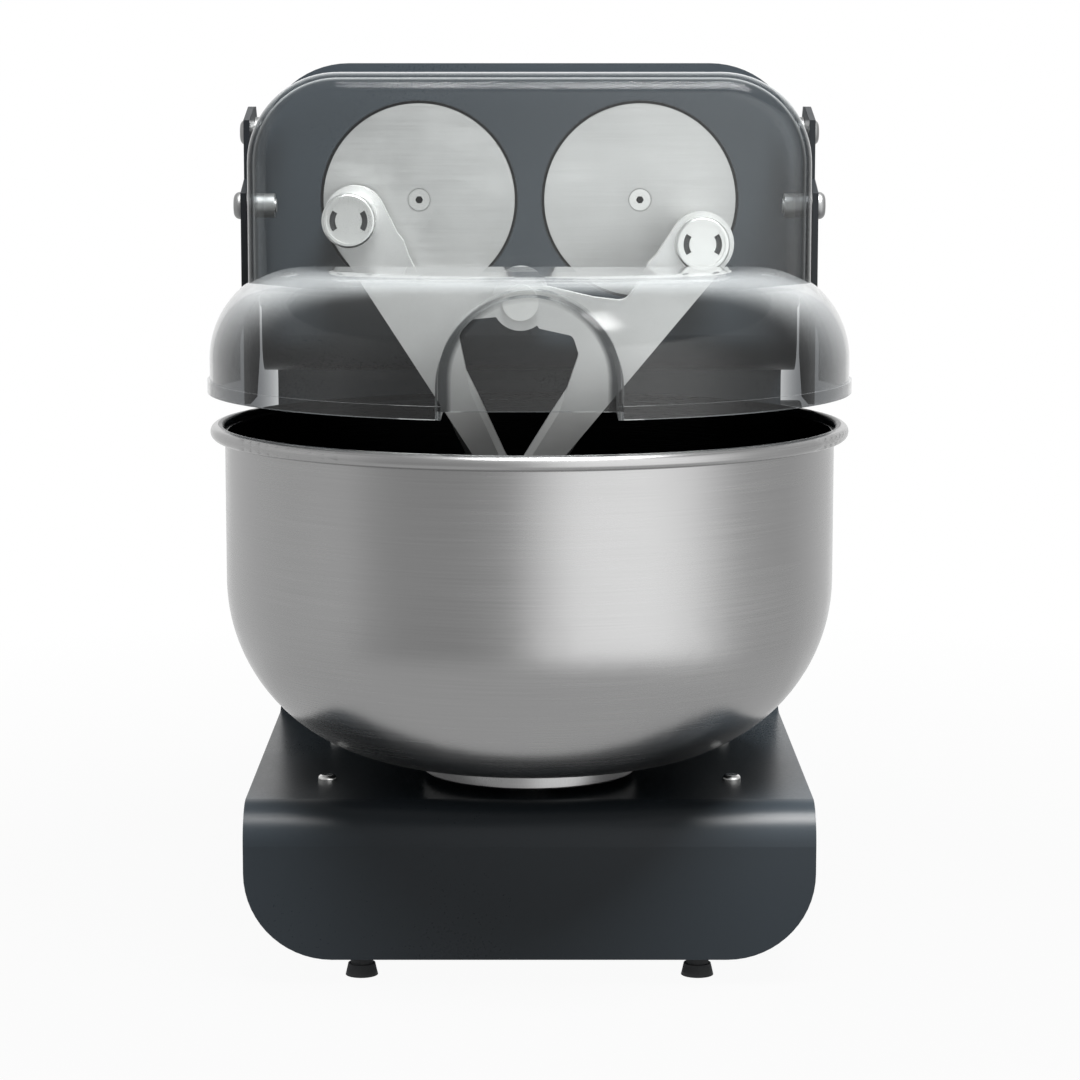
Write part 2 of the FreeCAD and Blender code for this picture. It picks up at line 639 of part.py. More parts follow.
def along(t, off):
    return (t * math.cos(ARM_TILT) - off * math.sin(ARM_TILT),
            t * math.sin(ARM_TILT) + off * math.cos(ARM_TILT))


knee = along(KNEE_AT, BOSS_R - KNEE_R)
shank = ARM_TILT + SHANK_TURN
tip = (knee[0] + SHANK_L * math.cos(shank), knee[1] + SHANK_L * math.sin(shank))
web = [(0, 0)] + list(SADDLE) + [(ARM_REACH, 0)] + list(WEB)
rounded = ((SADDLE[2], SADDLE_R), (WEB[1], WEB_R), (WEB[2], WEB_R))

for side, pin, y, hub0, hub1 in (
    ("left", pin_l, ARM_BACK_Y, hub_l_y, ARM_BACK_Y),
    ("right", pin_r, ARM_FRONT_Y, ARM_FRONT_Y + ARM_T, ARM_BACK_Y + ARM_T),
):
    ux = (pivot[0] - pin[0]) / ARM_REACH
    uz = (pivot[1] - pin[1]) / ARM_REACH
    vx, vz = (uz, -ux) if ux > 0 else (-uz, ux)

    def place(p):
        return pin[0] + p[0] * ux + p[1] * vx, pin[1] + p[0] * uz + p[1] * vz
    arm = fuse(slab([place(p) for p in web], y, ARM_T), [
        link(pin, BOSS_R, place(knee), KNEE_R, y, ARM_T),
        link(place(knee), KNEE_R, place(tip), TIP_R, y, ARM_T),
        rod(PIVOT_BOSS_R, pivot[0], pivot[1], y, y + ARM_T),
    ])
    for corner, radius in rounded:
        cx, cz = place(corner)
        upright = [e for e in arm.Edges
                   if abs(e.Length - ARM_T) < RUN and abs(e.CenterOfMass.y - y - ARM_T / 2) < RUN]
        near = min(upright, key=lambda e: math.hypot(e.CenterOfMass.x - cx, e.CenterOfMass.z - cz))
        arm = arm.makeFillet(radius, [near])
    shank_edges = [e for e in arm.Edges if e.Length > SHANK_L - 2 * KNEE_R and e.CenterOfMass.y < y + RUN
                   and e.BoundBox.ZMin < place(knee)[1] - SHANK_L / 2]
    inner = min(shank_edges, key=lambda e: abs(e.CenterOfMass.x))
    arm = arm.makeChamfer(SHANK_BEVEL, [inner])
    arm = fuse(arm, [rod(HUB_R, pin[0], pin[1], hub0, hub1)])
    arm = arm.cut(rod(PIN_R + RUN, pin[0], pin[1], ARM_FRONT_Y - PAST, FACE_Y))
    if side == "right":
        arm = arm.cut(rod(PIVOT_R, pivot[0], pivot[1], ARM_FRONT_Y - PAST, FACE_Y))
    save(arm, "arm_" + side)

stem = rod(PIVOT_R, pivot[0], pivot[1], ARM_FRONT_Y, ARM_FRONT_Y + ARM_T)
stem = fuse(stem, [rod(PIVOT_HEAD_R, pivot[0], pivot[1], ARM_FRONT_Y - PIVOT_HEAD_H, ARM_FRONT_Y),
                   rod(STEM_R, pivot[0], pivot[1], ARM_FRONT_Y + ARM_T, ARM_BACK_Y - STEM_GAP)])
save(stem, "arm_pivot")

for side, pin, knob_y in (("left", pin_l, knob_l_y), ("right", pin_r, knob_r_y)):
    knob = rod(KNOB_R, pin[0], pin[1], knob_y, knob_y + KNOB_T)
    knob = knob.makeFillet(KNOB_EDGE_R, [e for e in knob.Edges
                                         if e.Length > KNOB_R * 4 and e.CenterOfMass.y < knob_y + PAST])
    knob = knob.cut(rod(KNOB_R - KNOB_RIM, pin[0], pin[1], knob_y - PAST, knob_y + KNOB_DISH))
    deep = knob_y + GRIP_DEPTH
    groove = rod(GRIP_OUT_R, pin[0], pin[1], knob_y, deep)
    groove = groove.cut(rod(GRIP_IN_R, pin[0], pin[1], knob_y - PAST, deep + PAST))
    rise = KNOB_R * math.tan(GRIP_HALF_ANGLE)
    for reach in (-KNOB_R, KNOB_R):
        wedge = [pin, (pin[0] + reach, pin[1] + rise), (pin[0] + reach, pin[1] - rise)]
        knob = knob.cut(groove.common(slab(wedge, knob_y, GRIP_DEPTH)))
    save(knob, "release_knob_" + side)

# Lid: a clear hood over the arms on a round clear skirt over the bowl, with a front niche.


def lid_form(inset):
    """The skirt and the hood of the lid, shrunk evenly by the inset."""
    r = LID_R - inset
    top = LID_TOP - inset
    shoulder = LID_SHOULDER_R - inset
    mid = corner_mid(r - shoulder, top - shoulder, shoulder, 45)
    low = LID_LOW - inset
    dome = turned([
        ((0, low), (r, low)),
        ((r, low), (r, top - shoulder)),
        ((r, top - shoulder), mid, (r - shoulder, top)),
        ((r - shoulder, top), (0, top)),
        ((0, top), (0, low)),
    ])
    dome = dome.cut(box(-wide, wide, LID_BACK, wide, LID_LOW - wide, LID_LOW + wide))
    hood = front_profile(HOOD_HALF_W - inset, LID_TOP - HOOD_SINK - inset, HOOD_TOP - inset, HOOD_LOW_R,
                         HOOD_R - inset, HOOD_FRONT + inset, HOOD_BACK - HOOD_FRONT)
    front = [e for e in hood.Edges
             if abs(e.CenterOfMass.y - HOOD_FRONT - inset) < RUN and e.CenterOfMass.z > LID_TOP]
    return dome, hood.makeFillet(HOOD_EDGE_R - inset, front)


def arch(half, top, y):
    """A round-headed block that reaches forward past the lid."""
    low = LID_LOW - FLANGE_H
    wire = outline([
        (V(-half, y, low), V(half, y, low)),
        (V(half, y, low), V(half, y, top - half)),
        (V(half, y, top - half), V(0, y, top), V(-half, y, top - half)),
        (V(-half, y, top - half), V(-half, y, low)),
    ])
    return Part.Face(wire).extrude(V(0, -LID_R, 0))


dome_out, hood_out = lid_form(0)
dome_in, hood_in = lid_form(LID_T)
flange = post(FLANGE_R, 0, 0, LID_LOW, LID_LOW + FLANGE_H)
flange = flange.cut(box(-wide, wide, LID_BACK, wide, LID_LOW - wide, LID_LOW + wide))
niche = arch(NICHE_HALF_W, NICHE_TOP, NICHE_Y)
niche_wall = arch(NICHE_HALF_W + LID_T, NICHE_TOP + LID_T, NICHE_Y + LID_T)
in_front = box(-wide, wide, -wide, HOOD_BACK, LID_LOW - wide, LID_LOW + wide)
skin = dome_out.fuse([hood_out.common(in_front), flange]).cut(niche)
lid = skin.cut(dome_in.cut(niche_wall)).cut(hood_in)
lid = lid.cut(across(CLAMP_R + CLAMP_PLAY, -wide, wide, CLAMP_Y, CLAMP_Z))
save(lid.removeSplitter(), "lid")

# Cheeks: black plates that carry the lid from the hinge down to the skirt's back edge.
skirt_y = LID_BACK + CHEEK_CLEAR
front_y = CLAMP_Y - CHEEK_EAR
shoulder_z = LID_TOP - CHEEK_EAR
side_view = [
    (HINGE_Y + CHEEK_EAR, HINGE_Z + CHEEK_EAR / 2),
    (HINGE_Y + CHEEK_EAR / 2, HINGE_Z + CHEEK_EAR),
    (HINGE_Y - CHEEK_EAR / 2, HINGE_Z + CHEEK_EAR),
    (HOOD_BACK, HINGE_Z + CHEEK_EAR / 2),
    (HOOD_BACK, CLAMP_Z + CHEEK_EAR),
    (front_y, CLAMP_Z + CHEEK_EAR / 2),
    (front_y, shoulder_z),
    (skirt_y, shoulder_z - (skirt_y - front_y)),
    (skirt_y, CHEEK_LOW),
    (HINGE_Y - CHEEK_EAR / 2, CHEEK_LOW),
    (HINGE_Y + CHEEK_EAR, HEAD_LOW + CHEEK_EAR / 2),
]
corners = [V(CHEEK_X, y, z) for y, z in side_view]
cheek = Part.Face(Part.makePolygon(corners + corners[:1])).extrude(V(CHEEK_T, 0, 0))
cheek_out = CHEEK_X + CHEEK_T
cheek = cheek.cut(across(HINGE_R + RUN, CHEEK_X - PAST, cheek_out + PAST, HINGE_Y, HINGE_Z))
cheek = cheek.cut(across(CLAMP_R + CLAMP_PLAY, CHEEK_X - PAST, cheek_out + PAST, CLAMP_Y, CLAMP_Z))
save(cheek, "lid_cheek_right")
save(mirror(cheek), "lid_cheek_left")


def dome_bolt(x, y, z, head_r, shank_r, x_end):
    """A round-headed bolt whose shank runs inward along the width."""
    head = across(head_r, x, x + HEAD_H, y, z)
    edge = [e for e in head.Edges if e.Length > 2 * head_r and e.CenterOfMass.x > x + HEAD_H / 2]
    return fuse(head.makeFillet(HEAD_EDGE_R, edge), [across(shank_r, x_end, x, y, z)])


hood_inner = HOOD_HALF_W - LID_T
pin_end = HALF_W - WALL - PAST
save(pair(dome_bolt(cheek_out + HINGE_PLAY, HINGE_Y, HINGE_Z, HINGE_HEAD_R, HINGE_R, pin_end)), "hinge_bolts")
spacer = across(HINGE_SPACER_R, HALF_W, CHEEK_X - HINGE_PLAY, HINGE_Y, HINGE_Z)
save(pair(spacer.cut(across(HINGE_R, HALF_W - PAST, CHEEK_X, HINGE_Y, HINGE_Z))), "hinge_spacers")
bolt_end = hood_inner - NUT_T - PAST
save(pair(dome_bolt(cheek_out, CLAMP_Y, CLAMP_Z, CLAMP_HEAD_R, CLAMP_R, bolt_end)), "lid_bolts")
sleeve = across(SLEEVE_R, HOOD_HALF_W, CHEEK_X, CLAMP_Y, CLAMP_Z)
save(pair(sleeve.cut(across(CLAMP_R, HOOD_HALF_W - PAST, CHEEK_X + PAST, CLAMP_Y, CLAMP_Z))), "lid_spacers")
nut = across(NUT_R, hood_inner - NUT_T, hood_inner, CLAMP_Y, CLAMP_Z)
nut = nut.cut(across(CLAMP_R, hood_inner - NUT_T - PAST, hood_inner + PAST, CLAMP_Y, CLAMP_Z))
save(pair(nut), "lid_nuts")

# Controls on the right side of the column.
panel = box(inner_x - PANEL_T, inner_x, CONTROL_Y - PANEL_EDGE, CONTROL_Y + PANEL_EDGE,
            STOP_Z - PANEL_END, KNOB_Z + PANEL_END)
for z in (START_Z, STOP_Z):
    bore_end = inner_x - BUTTON_IN - BORE_SPARE
    panel = panel.cut(across(BUTTON_R + BUTTON_CLEAR, bore_end, inner_x + PAST, CONTROL_Y, z))
shaft_end = inner_x - DIAL_SHAFT_IN
panel = panel.cut(across(DIAL_SHAFT_R + RUN, shaft_end - PAST, inner_x + PAST, CONTROL_Y, KNOB_Z))
save(panel, "control_box")
collars = []
for z in (START_Z, STOP_Z):
    hole = across(BUTTON_R + BUTTON_CLEAR, HALF_W - PAST, HALF_W + COLLAR_T + PAST, CONTROL_Y, z)
    collars.append(across(BUTTON_R + COLLAR_W, HALF_W, HALF_W + COLLAR_T, CONTROL_Y, z).cut(hole))
save(Part.makeCompound(collars), "button_collars")
for node, z in (("start_button", START_Z), ("stop_button", STOP_Z)):
    cap = across(BUTTON_R, inner_x - BUTTON_IN, HALF_W + BUTTON_OUT, CONTROL_Y, z)
    edge = [e for e in cap.Edges if e.Length > 2 * BUTTON_R and e.CenterOfMass.x > HALF_W]
    save(cap.makeFillet(BUTTON_EDGE_R, [e for e in edge if e.Closed]), node)
dial_out = HALF_W + DIAL_T
dial = across(DIAL_R, HALF_W + DIAL_GAP, dial_out, CONTROL_Y, KNOB_Z)
dial = dial.makeFillet(DIAL_EDGE_R, [e for e in dial.Edges if e.Closed and e.CenterOfMass.x > dial_out - PAST])
dial = fuse(dial, [across(DIAL_SHAFT_R, shaft_end, HALF_W + PAST, CONTROL_Y, KNOB_Z)])
dial = dial.cut(box(dial_out - MARK_DEPTH, dial_out + PAST, CONTROL_Y - MARK_HALF_W, CONTROL_Y + MARK_HALF_W,
                    KNOB_Z + MARK_FROM, KNOB_Z + DIAL_R + PAST))
save(dial, "speed_knob")
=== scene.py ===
import math

import bmesh
import bpy
from bpy.props import FloatProperty, FloatVectorProperty, IntProperty, PointerProperty
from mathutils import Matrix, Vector


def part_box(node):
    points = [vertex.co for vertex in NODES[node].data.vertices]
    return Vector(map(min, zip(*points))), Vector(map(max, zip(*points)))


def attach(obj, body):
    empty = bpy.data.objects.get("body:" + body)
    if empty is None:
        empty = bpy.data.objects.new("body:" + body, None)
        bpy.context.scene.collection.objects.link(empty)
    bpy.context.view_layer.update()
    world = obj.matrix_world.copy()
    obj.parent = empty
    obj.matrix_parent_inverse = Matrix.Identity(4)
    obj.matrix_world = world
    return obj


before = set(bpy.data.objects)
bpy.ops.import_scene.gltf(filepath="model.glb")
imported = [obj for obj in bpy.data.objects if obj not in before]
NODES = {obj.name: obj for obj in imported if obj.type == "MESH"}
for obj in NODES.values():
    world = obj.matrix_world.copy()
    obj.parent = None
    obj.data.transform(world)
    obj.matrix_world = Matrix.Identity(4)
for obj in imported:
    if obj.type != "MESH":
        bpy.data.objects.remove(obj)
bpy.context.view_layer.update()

bl_info = {
    "name": "Twin-arm dough mixer",
    "version": (1, 0, 0),
    "blender": (4, 5, 0),
    "location": "View3D > Sidebar > Mixer",
    "description": "Finishes and stage for a countertop dough mixer with two arms",
    "category": "Object",
}

MM = 0.001
SIDES = ("left", "right")

# Grained surfaces: where the sum of the two noises mostly lies, and the share of the roughness there.
NOISE_LOW = 0.6
NOISE_HIGH = 1.4
ROUGH_LOW = 0.85
ROUGH_HIGH = 1.2
FINE_DETAIL = 3.0
BROAD_DETAIL = 2.0
BUMP_STRENGTH = 0.5
EVEN = (1, 1, 1)

# Clear sheet: facing runs from 0 face on to 1 edge on.
SHEET_IOR = 1.58
HAZE_FROM = 0.45
HAZE_TO = 0.88
HAZE_LEAST = 0.006
HAZE_MOST = 0.5
SHINE_POWER = 5.0
SHINE_LEAST = 0.03
SHINE_MOST = 0.8
GLOSS_LEAST = 0.03
GLOSS_MOST = 0.1
# The outer share of the band has its full tint, which is weaker over the arch's crown than at its legs.
BAND_FULL = 0.6
CROWN_FROM = 0.3
CROWN_TO = 0.8
CROWN_SHARE = 0.25
# A wall counts as sideways by its normal's level part, and as slanted by its facing.
SIDEWAYS_FROM = 0.55
SIDEWAYS_TO = 0.85
SLANT_FROM = 0.25
SLANT_TO = 0.5

# Share of the arm's tone that is left in the bowl's shade.
ARM_SHADE = 0.4
# A face of the bowl is inside when its reach from the axis along its normal is less than this.
INSIDE_REACH = 0.5 * MM
# Steps of the painted shade pieces: each quarter of a disc's ring and each grip slot's arc, then the sides
# of a screw socket.
SHADE_RING_STEPS = 24
GRIP_STEPS = 16
SOCKET_SIDES = 6

# Stage: shares of light in the world and on the paper, and tones of the cards.
WORLD_DIFFUSE = 0.15
PAPER_NEAR = 0.95
FLOOR_TONE = 0.58
ROOF_TONE = 0.4
CARD_STEPS = 72
ROOF_END = 180
# Tone of the ring card by the angle from the front to the right in degrees, set for the bowl's bands.
CARD_END = 150
CARD_PEAK = 1.6
CARD_TONES = (
    (-150, 0.75), (-95, 0.6), (-66, 0.62), (-58, 0.5), (-46, 0.42), (-22, 0.42), (-7, 0.5), (3, 0.95),
    (15, 1.42), (42, 1.5), (57, 1.3), (70, 0.85), (80, 0.58), (105, 0.52), (150, 0.8))

# The camera's lens, worked out in pixels of the square picture.
PICTURE_PIXELS = 1080
FOCAL_PIXELS = 3230
SHIFT_PIXELS = 10.5
SENSOR_MM = 36


def linear(code):
    """The linear colour of an sRGB hex value."""
    parts = [int(code[i:i + 2], 16) / 255 for i in (0, 2, 4)]
    return tuple(p / 12.92 if p <= 0.04045 else ((p + 0.055) / 1.055) ** 2.4 for p in parts)


def colour(label, code, about):
    return FloatVectorProperty(name=label, description=about, default=linear(code), size=3,
                               min=0, max=1, subtype="COLOR")


def length(label, metres, about):
    return FloatProperty(name=label, description=about, default=metres, min=0, unit="LENGTH", precision=5)


def angle(label, degrees, about):
    return FloatProperty(name=label, description=about, default=math.radians(degrees), subtype="ANGLE")


def power(label, watts, about):
    return FloatProperty(name=label, description=about, default=watts, min=0, unit="POWER")


def spot(label, metres, about):
    return FloatVectorProperty(name=label, description=about, default=metres, size=3,
                               subtype="TRANSLATION", unit="LENGTH")


class MixerColours(bpy.types.PropertyGroup):
    paint: colour("Body paint", "292f34", "Powder coat on the folded steel body")
    cheek: colour("Cheek paint", "14171a", "Powder coat on the lid's side plates")
    bowl: colour("Bowl steel", "b4b4b4", "Spun stainless of the bowl and its turntable")
    # Painted shade: this dark tone stands in for the shadow and dark reflections inside the bowl.
    inside: colour("Bowl inside", "161718", "Dull inside of the bowl")
    disc: colour("Disc steel", "c4c4c3", "Brushed stainless of the crank discs, and the dial's marks")
    arm: colour("Arm steel", "d6d6d5", "Blasted stainless of the kneading arms")
    zinc: colour("Dull zinc", "9c9d9d", "Zinc plate of the lid's bolts and nuts")
    bright: colour("Bright metal", "ececea", "Plated screws, pins and release knobs")
    clear: colour("Lid haze", "a0a3a4", "Grey that the clear lid takes at a low angle")
    sheet: colour("Lid sheet", "fbfcfc", "What the clear lid lets through when seen face on")
    arch: colour("Lid arch", "aaacad", "What the lid lets through in the band round its arch")
    slant: colour("Lid walls", "a2a4a6", "What the lid's side walls let through at a slant")
    rubber: colour("Rubber", "5a5c5e", "Feet and belts")
    # Painted shade: this black stands in for the shade in the discs' running gaps and in the screw sockets.
    painted_shade: colour("Felt", "060606", "Felt in the discs' running gaps and shade in the screw sockets")
    # This black also gives the painted shade in the knobs' grip slots.
    black: colour("Black plastic", "1d1e1f", "Moulded controls, inlet and the inlays of the knobs")
    start: colour("Start button", "2f8f45", "Moulded green cap")
    stop: colour("Stop button", "b52a22", "Moulded red cap")
    machined: colour("Machined steel", "9a9b9c", "Shafts, gears and plates in the casing")
    motor: colour("Motor enamel", "4d5256", "Stove enamel on the motor case")
    bronze: colour("Bronze", "b28a4e", "Cast worm wheel")
    paper: colour("Floor paper", "595959", "Matt side of the floor, which takes the shadow")
    light: colour("White light", "ffffff", "Light of the world, the paper and the cards")


class MixerSizes(bpy.types.PropertyGroup):
    # Of these six grains, all but the coat's peel are drawn coarser than life, so that they show.
    peel: length("Coat peel", 1.4 * MM, "Spacing of the ripples in the powder coat")
    brush: length("Brush line", 0.7 * MM, "Spacing of the brush lines on the discs")
    spin: length("Spin line", 0.9 * MM, "Spacing of the spinning lines round the bowl")
    grit: length("Blast grit", 0.8 * MM, "Grain that blasting leaves on the arms")
    grain: length("Mould grain", 0.6 * MM, "Grain of the moulded plastic")
    turning: length("Turning line", 0.5 * MM, "Spacing of the tool marks on machined steel")
    ripple: length("Lid ripple", 90 * MM, "Spacing of the slow waves in the lid's sheet")
    arch_half: length("Arch half width", 47.6 * MM, "Half the width of the lid's front arch over its wall")
    arch_top: length("Arch top", 383.6 * MM, "Height of the top of the lid's front arch over its wall")
    arch_deep: length("Arch depth", 56 * MM, "Depth of the front arch behind the lid's front")
    arch_band: length("Arch band", 7 * MM, "Width of the dark band round the front arch")
    shade_below: length("Shade below", 20 * MM, "Depth under the bowl's rim where the arms are darkest")
    shade_above: length("Shade above", 50 * MM, "Height over the bowl's rim where the arms are unshaded")
    # The ring round each disc is painted shade: a dark ring that stands in for the shade in its running gap.
    shade_ring_gap: length("Seal gap", 0.2 * MM, "Gap between a disc and its felt ring")
    shade_ring_wide: length("Seal width", 1.5 * MM, "Width of the felt ring round a disc")
    shade_ring_set: length("Seal setback", 0.8 * MM, "Setback of the felt ring from the disc's face")
    shade_ring_deep: length("Seal depth", 1.2 * MM, "Thickness of the felt ring")
    socket: length("Socket radius", 2.25 * MM, "Radius to the corners of a screw socket's bottom")
    socket_set: length("Socket depth", 1.4 * MM, "Depth of the socket's bottom under the screw's face")
    socket_deep: length("Socket bottom", 1.2 * MM, "Thickness of the socket's bottom")
    # The inlays are dark pieces of painted shade in a knob's grip slots.
    grip_in: length("Grip inside", 7.5 * MM, "Inner radius of the inlays in a release knob")
    grip_out: length("Grip outside", 10.5 * MM, "Outer radius of the inlays in a release knob")
    grip_set: length("Grip setback", 2.3 * MM, "Setback of the inlays from the knob's face")
    grip_deep: length("Grip depth", 1.1 * MM, "Thickness of the inlays")
    grip_sweep: angle("Grip sweep", 66, "Angle that each inlay spans")
    tick: length("Dial tick", 3.0 * MM, "Length of the marks round the speed dial")
    tick_wide: length("Tick width", 1.0 * MM, "Width of the marks round the speed dial")
    tick_gap: length("Tick gap", 3.0 * MM, "Gap between the dial and its marks")
    tick_deep: length("Tick thickness", 0.12 * MM, "Thickness of the printed marks")
    tick_sweep: angle("Tick sweep", 270, "Angle that the marks span")
    ticks: IntProperty(name="Tick count", description="Marks round the speed dial", default=11, min=2)


class MixerStage(bpy.types.PropertyGroup):
    floor: length("Floor", 80.0, "Side of the floor")
    shadow_from: length("Shadow start", 0.35, "Radius inside which the paper shows its shadow most")
    shadow_to: length("Shadow end", 1.1, "Radius outside which the paper is all white")
    card: length("Card distance", 1.25, "Distance of the ring card from the bowl's axis")
    card_height: length("Card height", 1.2, "Height of the ring card and of the overhead card")
    card_low: length("Card gap", 0.002, "Height of the ring card's flat part over the floor")
    card_hole: length("Card hole", 0.05, "Radius of the hole in the ring card's flat part")
    card_near: length("Card start", 0.45, "Distance from the bowl's foot where the ring's own tones begin")
    card_blend: length("Card blend", 0.08, "Half the distance over which those tones take over")
    key: power("Key light", 155, "Power of the front light")
    key_place: spot("Key place", (0.3, -0.75, 2.2), "Front light, from the floor under the bowl")
    key_aim: length("Key aim", 0.4, "Height that the front light points at")
    key_wide: length("Key width", 1.0, "Width of the front light")
    key_tall: length("Key height", 0.8, "Height of the front light's panel")
    fill: power("Fill light", 4, "Power of the side light")
    fill_place: spot("Fill place", (-1.6, -0.9, 0.9), "Side light, from the floor under the bowl")
    fill_wide: length("Fill width", 1.0, "Width of the side light")
    fill_tall: length("Fill height", 1.4, "Height of the side light's panel")
    top: power("Top light", 36, "Power of the overhead light")
    top_place: spot("Top place", (0, 0.163, 1.9), "Overhead light, from the floor under the bowl")
    top_side: length("Top side", 1.8, "Side of the square overhead light")
    aim: length("Aim", 0.3, "Height that the side and overhead lights point at")
    camera_away: length("Camera distance", 1.802, "Level distance of the camera from the bowl's axis")
    camera_height: length("Camera height", 0.4868, "Height of the camera over the floor")
    camera_tilt: angle("Camera tilt", 7.966, "Angle at which the camera looks down")


def add(tree, kind, sockets, **settings):
    """Add a node, set it up, and set or link its inputs."""
    node = tree.nodes.new(kind)
    for name, value in settings.items():
        setattr(node, name, value)
    for name, value in sockets.items():
        if isinstance(value, bpy.types.NodeSocket):
            tree.links.new(value, node.inputs[name])
        else:
            node.inputs[name].default_value = value
    return node


def rgba(tone, share=1.0):
    return (tone[0] * share, tone[1] * share, tone[2] * share, 1)


def blank(name):
    material = bpy.data.materials.new(name)
    material.use_nodes = True
    material.node_tree.nodes.clear()
    return material, material.node_tree


def grained(name, tone, grain, rough, relief, metal=0.0, spread=EVEN, patch=40 * MM, contrast=0.12,
            mirror=0.5):
    """A surface with a fine grain, stretched along each axis by the spread, and broad patches of tone."""
    material, tree = blank(name)
    place = add(tree, "ShaderNodeTexCoord", {})
    stretch = tuple(1 / (grain * s) for s in spread)
    fine_at = add(tree, "ShaderNodeMapping", {"Vector": place.outputs["Object"], "Scale": stretch})
    fine = add(tree, "ShaderNodeTexNoise", {
        "Vector": fine_at.outputs["Vector"], "Scale": 1.0, "Detail": FINE_DETAIL})
    broad = add(tree, "ShaderNodeTexNoise", {
        "Vector": place.outputs["Object"], "Scale": 1 / patch, "Detail": BROAD_DETAIL})
    mixed = add(tree, "ShaderNodeMath", {0: fine.outputs["Fac"], 1: broad.outputs["Fac"]}, operation="ADD")
    tint = add(tree, "ShaderNodeMapRange", {
        "Value": mixed.outputs[0], "From Min": NOISE_LOW, "From Max": NOISE_HIGH})
    shade = add(tree, "ShaderNodeMix", {
        "Factor": tint.outputs[0], "A": rgba(tone, 1 - contrast), "B": rgba(tone, 1 + contrast)},
        data_type="RGBA")
    gloss = add(tree, "ShaderNodeMapRange", {
        "Value": mixed.outputs[0], "From Min": NOISE_LOW, "From Max": NOISE_HIGH,
        "To Min": rough * ROUGH_LOW, "To Max": rough * ROUGH_HIGH})
    bump = add(tree, "ShaderNodeBump", {
        "Height": fine.outputs["Fac"], "Strength": BUMP_STRENGTH, "Distance": relief})
    surface = add(tree, "ShaderNodeBsdfPrincipled", {
        "Base Color": shade.outputs["Result"], "Roughness": gloss.outputs[0], "Metallic": metal,
        "Normal": bump.outputs["Normal"], "Specular IOR Level": mirror})
    add(tree, "ShaderNodeOutputMaterial", {"Surface": surface.outputs["BSDF"]})
    return material


def recolour(tree, share, tone):
    """Turn a grained surface to another tone where the share is 1."""
    base = tree.nodes["Principled BSDF"].inputs["Base Color"]
    mixed = add(tree, "ShaderNodeMix", {
        "Factor": share, "A": base.links[0].from_socket, "B": tone}, data_type="RGBA")
    tree.links.new(mixed.outputs["Result"], base)


def arch_share(tree, place, sizes):
    """Share of the dark band that follows the lid's front arch."""
    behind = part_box("lid")[0].y + sizes.arch_deep
    point = add(tree, "ShaderNodeSeparateXYZ", {0: place.outputs["Object"]})
    rise = add(tree, "ShaderNodeMath", {0: point.outputs["Z"], 1: sizes.arch_top - sizes.arch_half},
               operation="SUBTRACT")
    above = add(tree, "ShaderNodeMath", {0: rise.outputs[0], 1: 0.0}, operation="MAXIMUM")
    out = add(tree, "ShaderNodeCombineXYZ", {"X": point.outputs["X"], "Z": above.outputs[0]})
    reach = add(tree, "ShaderNodeVectorMath", {0: out.outputs[0]}, operation="LENGTH").outputs["Value"]
    fade = add(tree, "ShaderNodeMapRange", {
        "Value": reach, "From Min": sizes.arch_half - sizes.arch_band,
        "From Max": sizes.arch_half - BAND_FULL * sizes.arch_band})
    within = add(tree, "ShaderNodeMath", {0: reach, 1: sizes.arch_half}, operation="LESS_THAN")
    front = add(tree, "ShaderNodeMath", {0: point.outputs["Y"], 1: behind}, operation="LESS_THAN")
    aside = add(tree, "ShaderNodeMath", {0: point.outputs["X"]}, operation="ABSOLUTE")
    share = add(tree, "ShaderNodeMapRange", {
        "Value": aside.outputs[0], "From Min": CROWN_FROM * sizes.arch_half,
        "From Max": CROWN_TO * sizes.arch_half, "To Min": CROWN_SHARE, "To Max": 1.0})
    for part in (fade, within, front):
        share = add(tree, "ShaderNodeMath", {0: share.outputs[0], 1: part.outputs[0]}, operation="MULTIPLY")
    return share.outputs[0]


def slant_share(tree, place, slope):
    """Share of the tint on walls that look sideways and are seen at a slant."""
    way = add(tree, "ShaderNodeSeparateXYZ", {0: place.outputs["Normal"]})
    aside = add(tree, "ShaderNodeMath", {0: way.outputs["X"]}, operation="ABSOLUTE")
    sideways = add(tree, "ShaderNodeMapRange", {
        "Value": aside.outputs[0], "From Min": SIDEWAYS_FROM, "From Max": SIDEWAYS_TO},
        interpolation_type="SMOOTHSTEP")
    slant = add(tree, "ShaderNodeMapRange", {
        "Value": slope.outputs["Facing"], "From Min": SLANT_FROM, "From Max": SLANT_TO},
        interpolation_type="SMOOTHSTEP")
    share = add(tree, "ShaderNodeMath", {0: sideways.outputs[0], 1: slant.outputs[0]}, operation="MULTIPLY")
    return share.outputs[0]


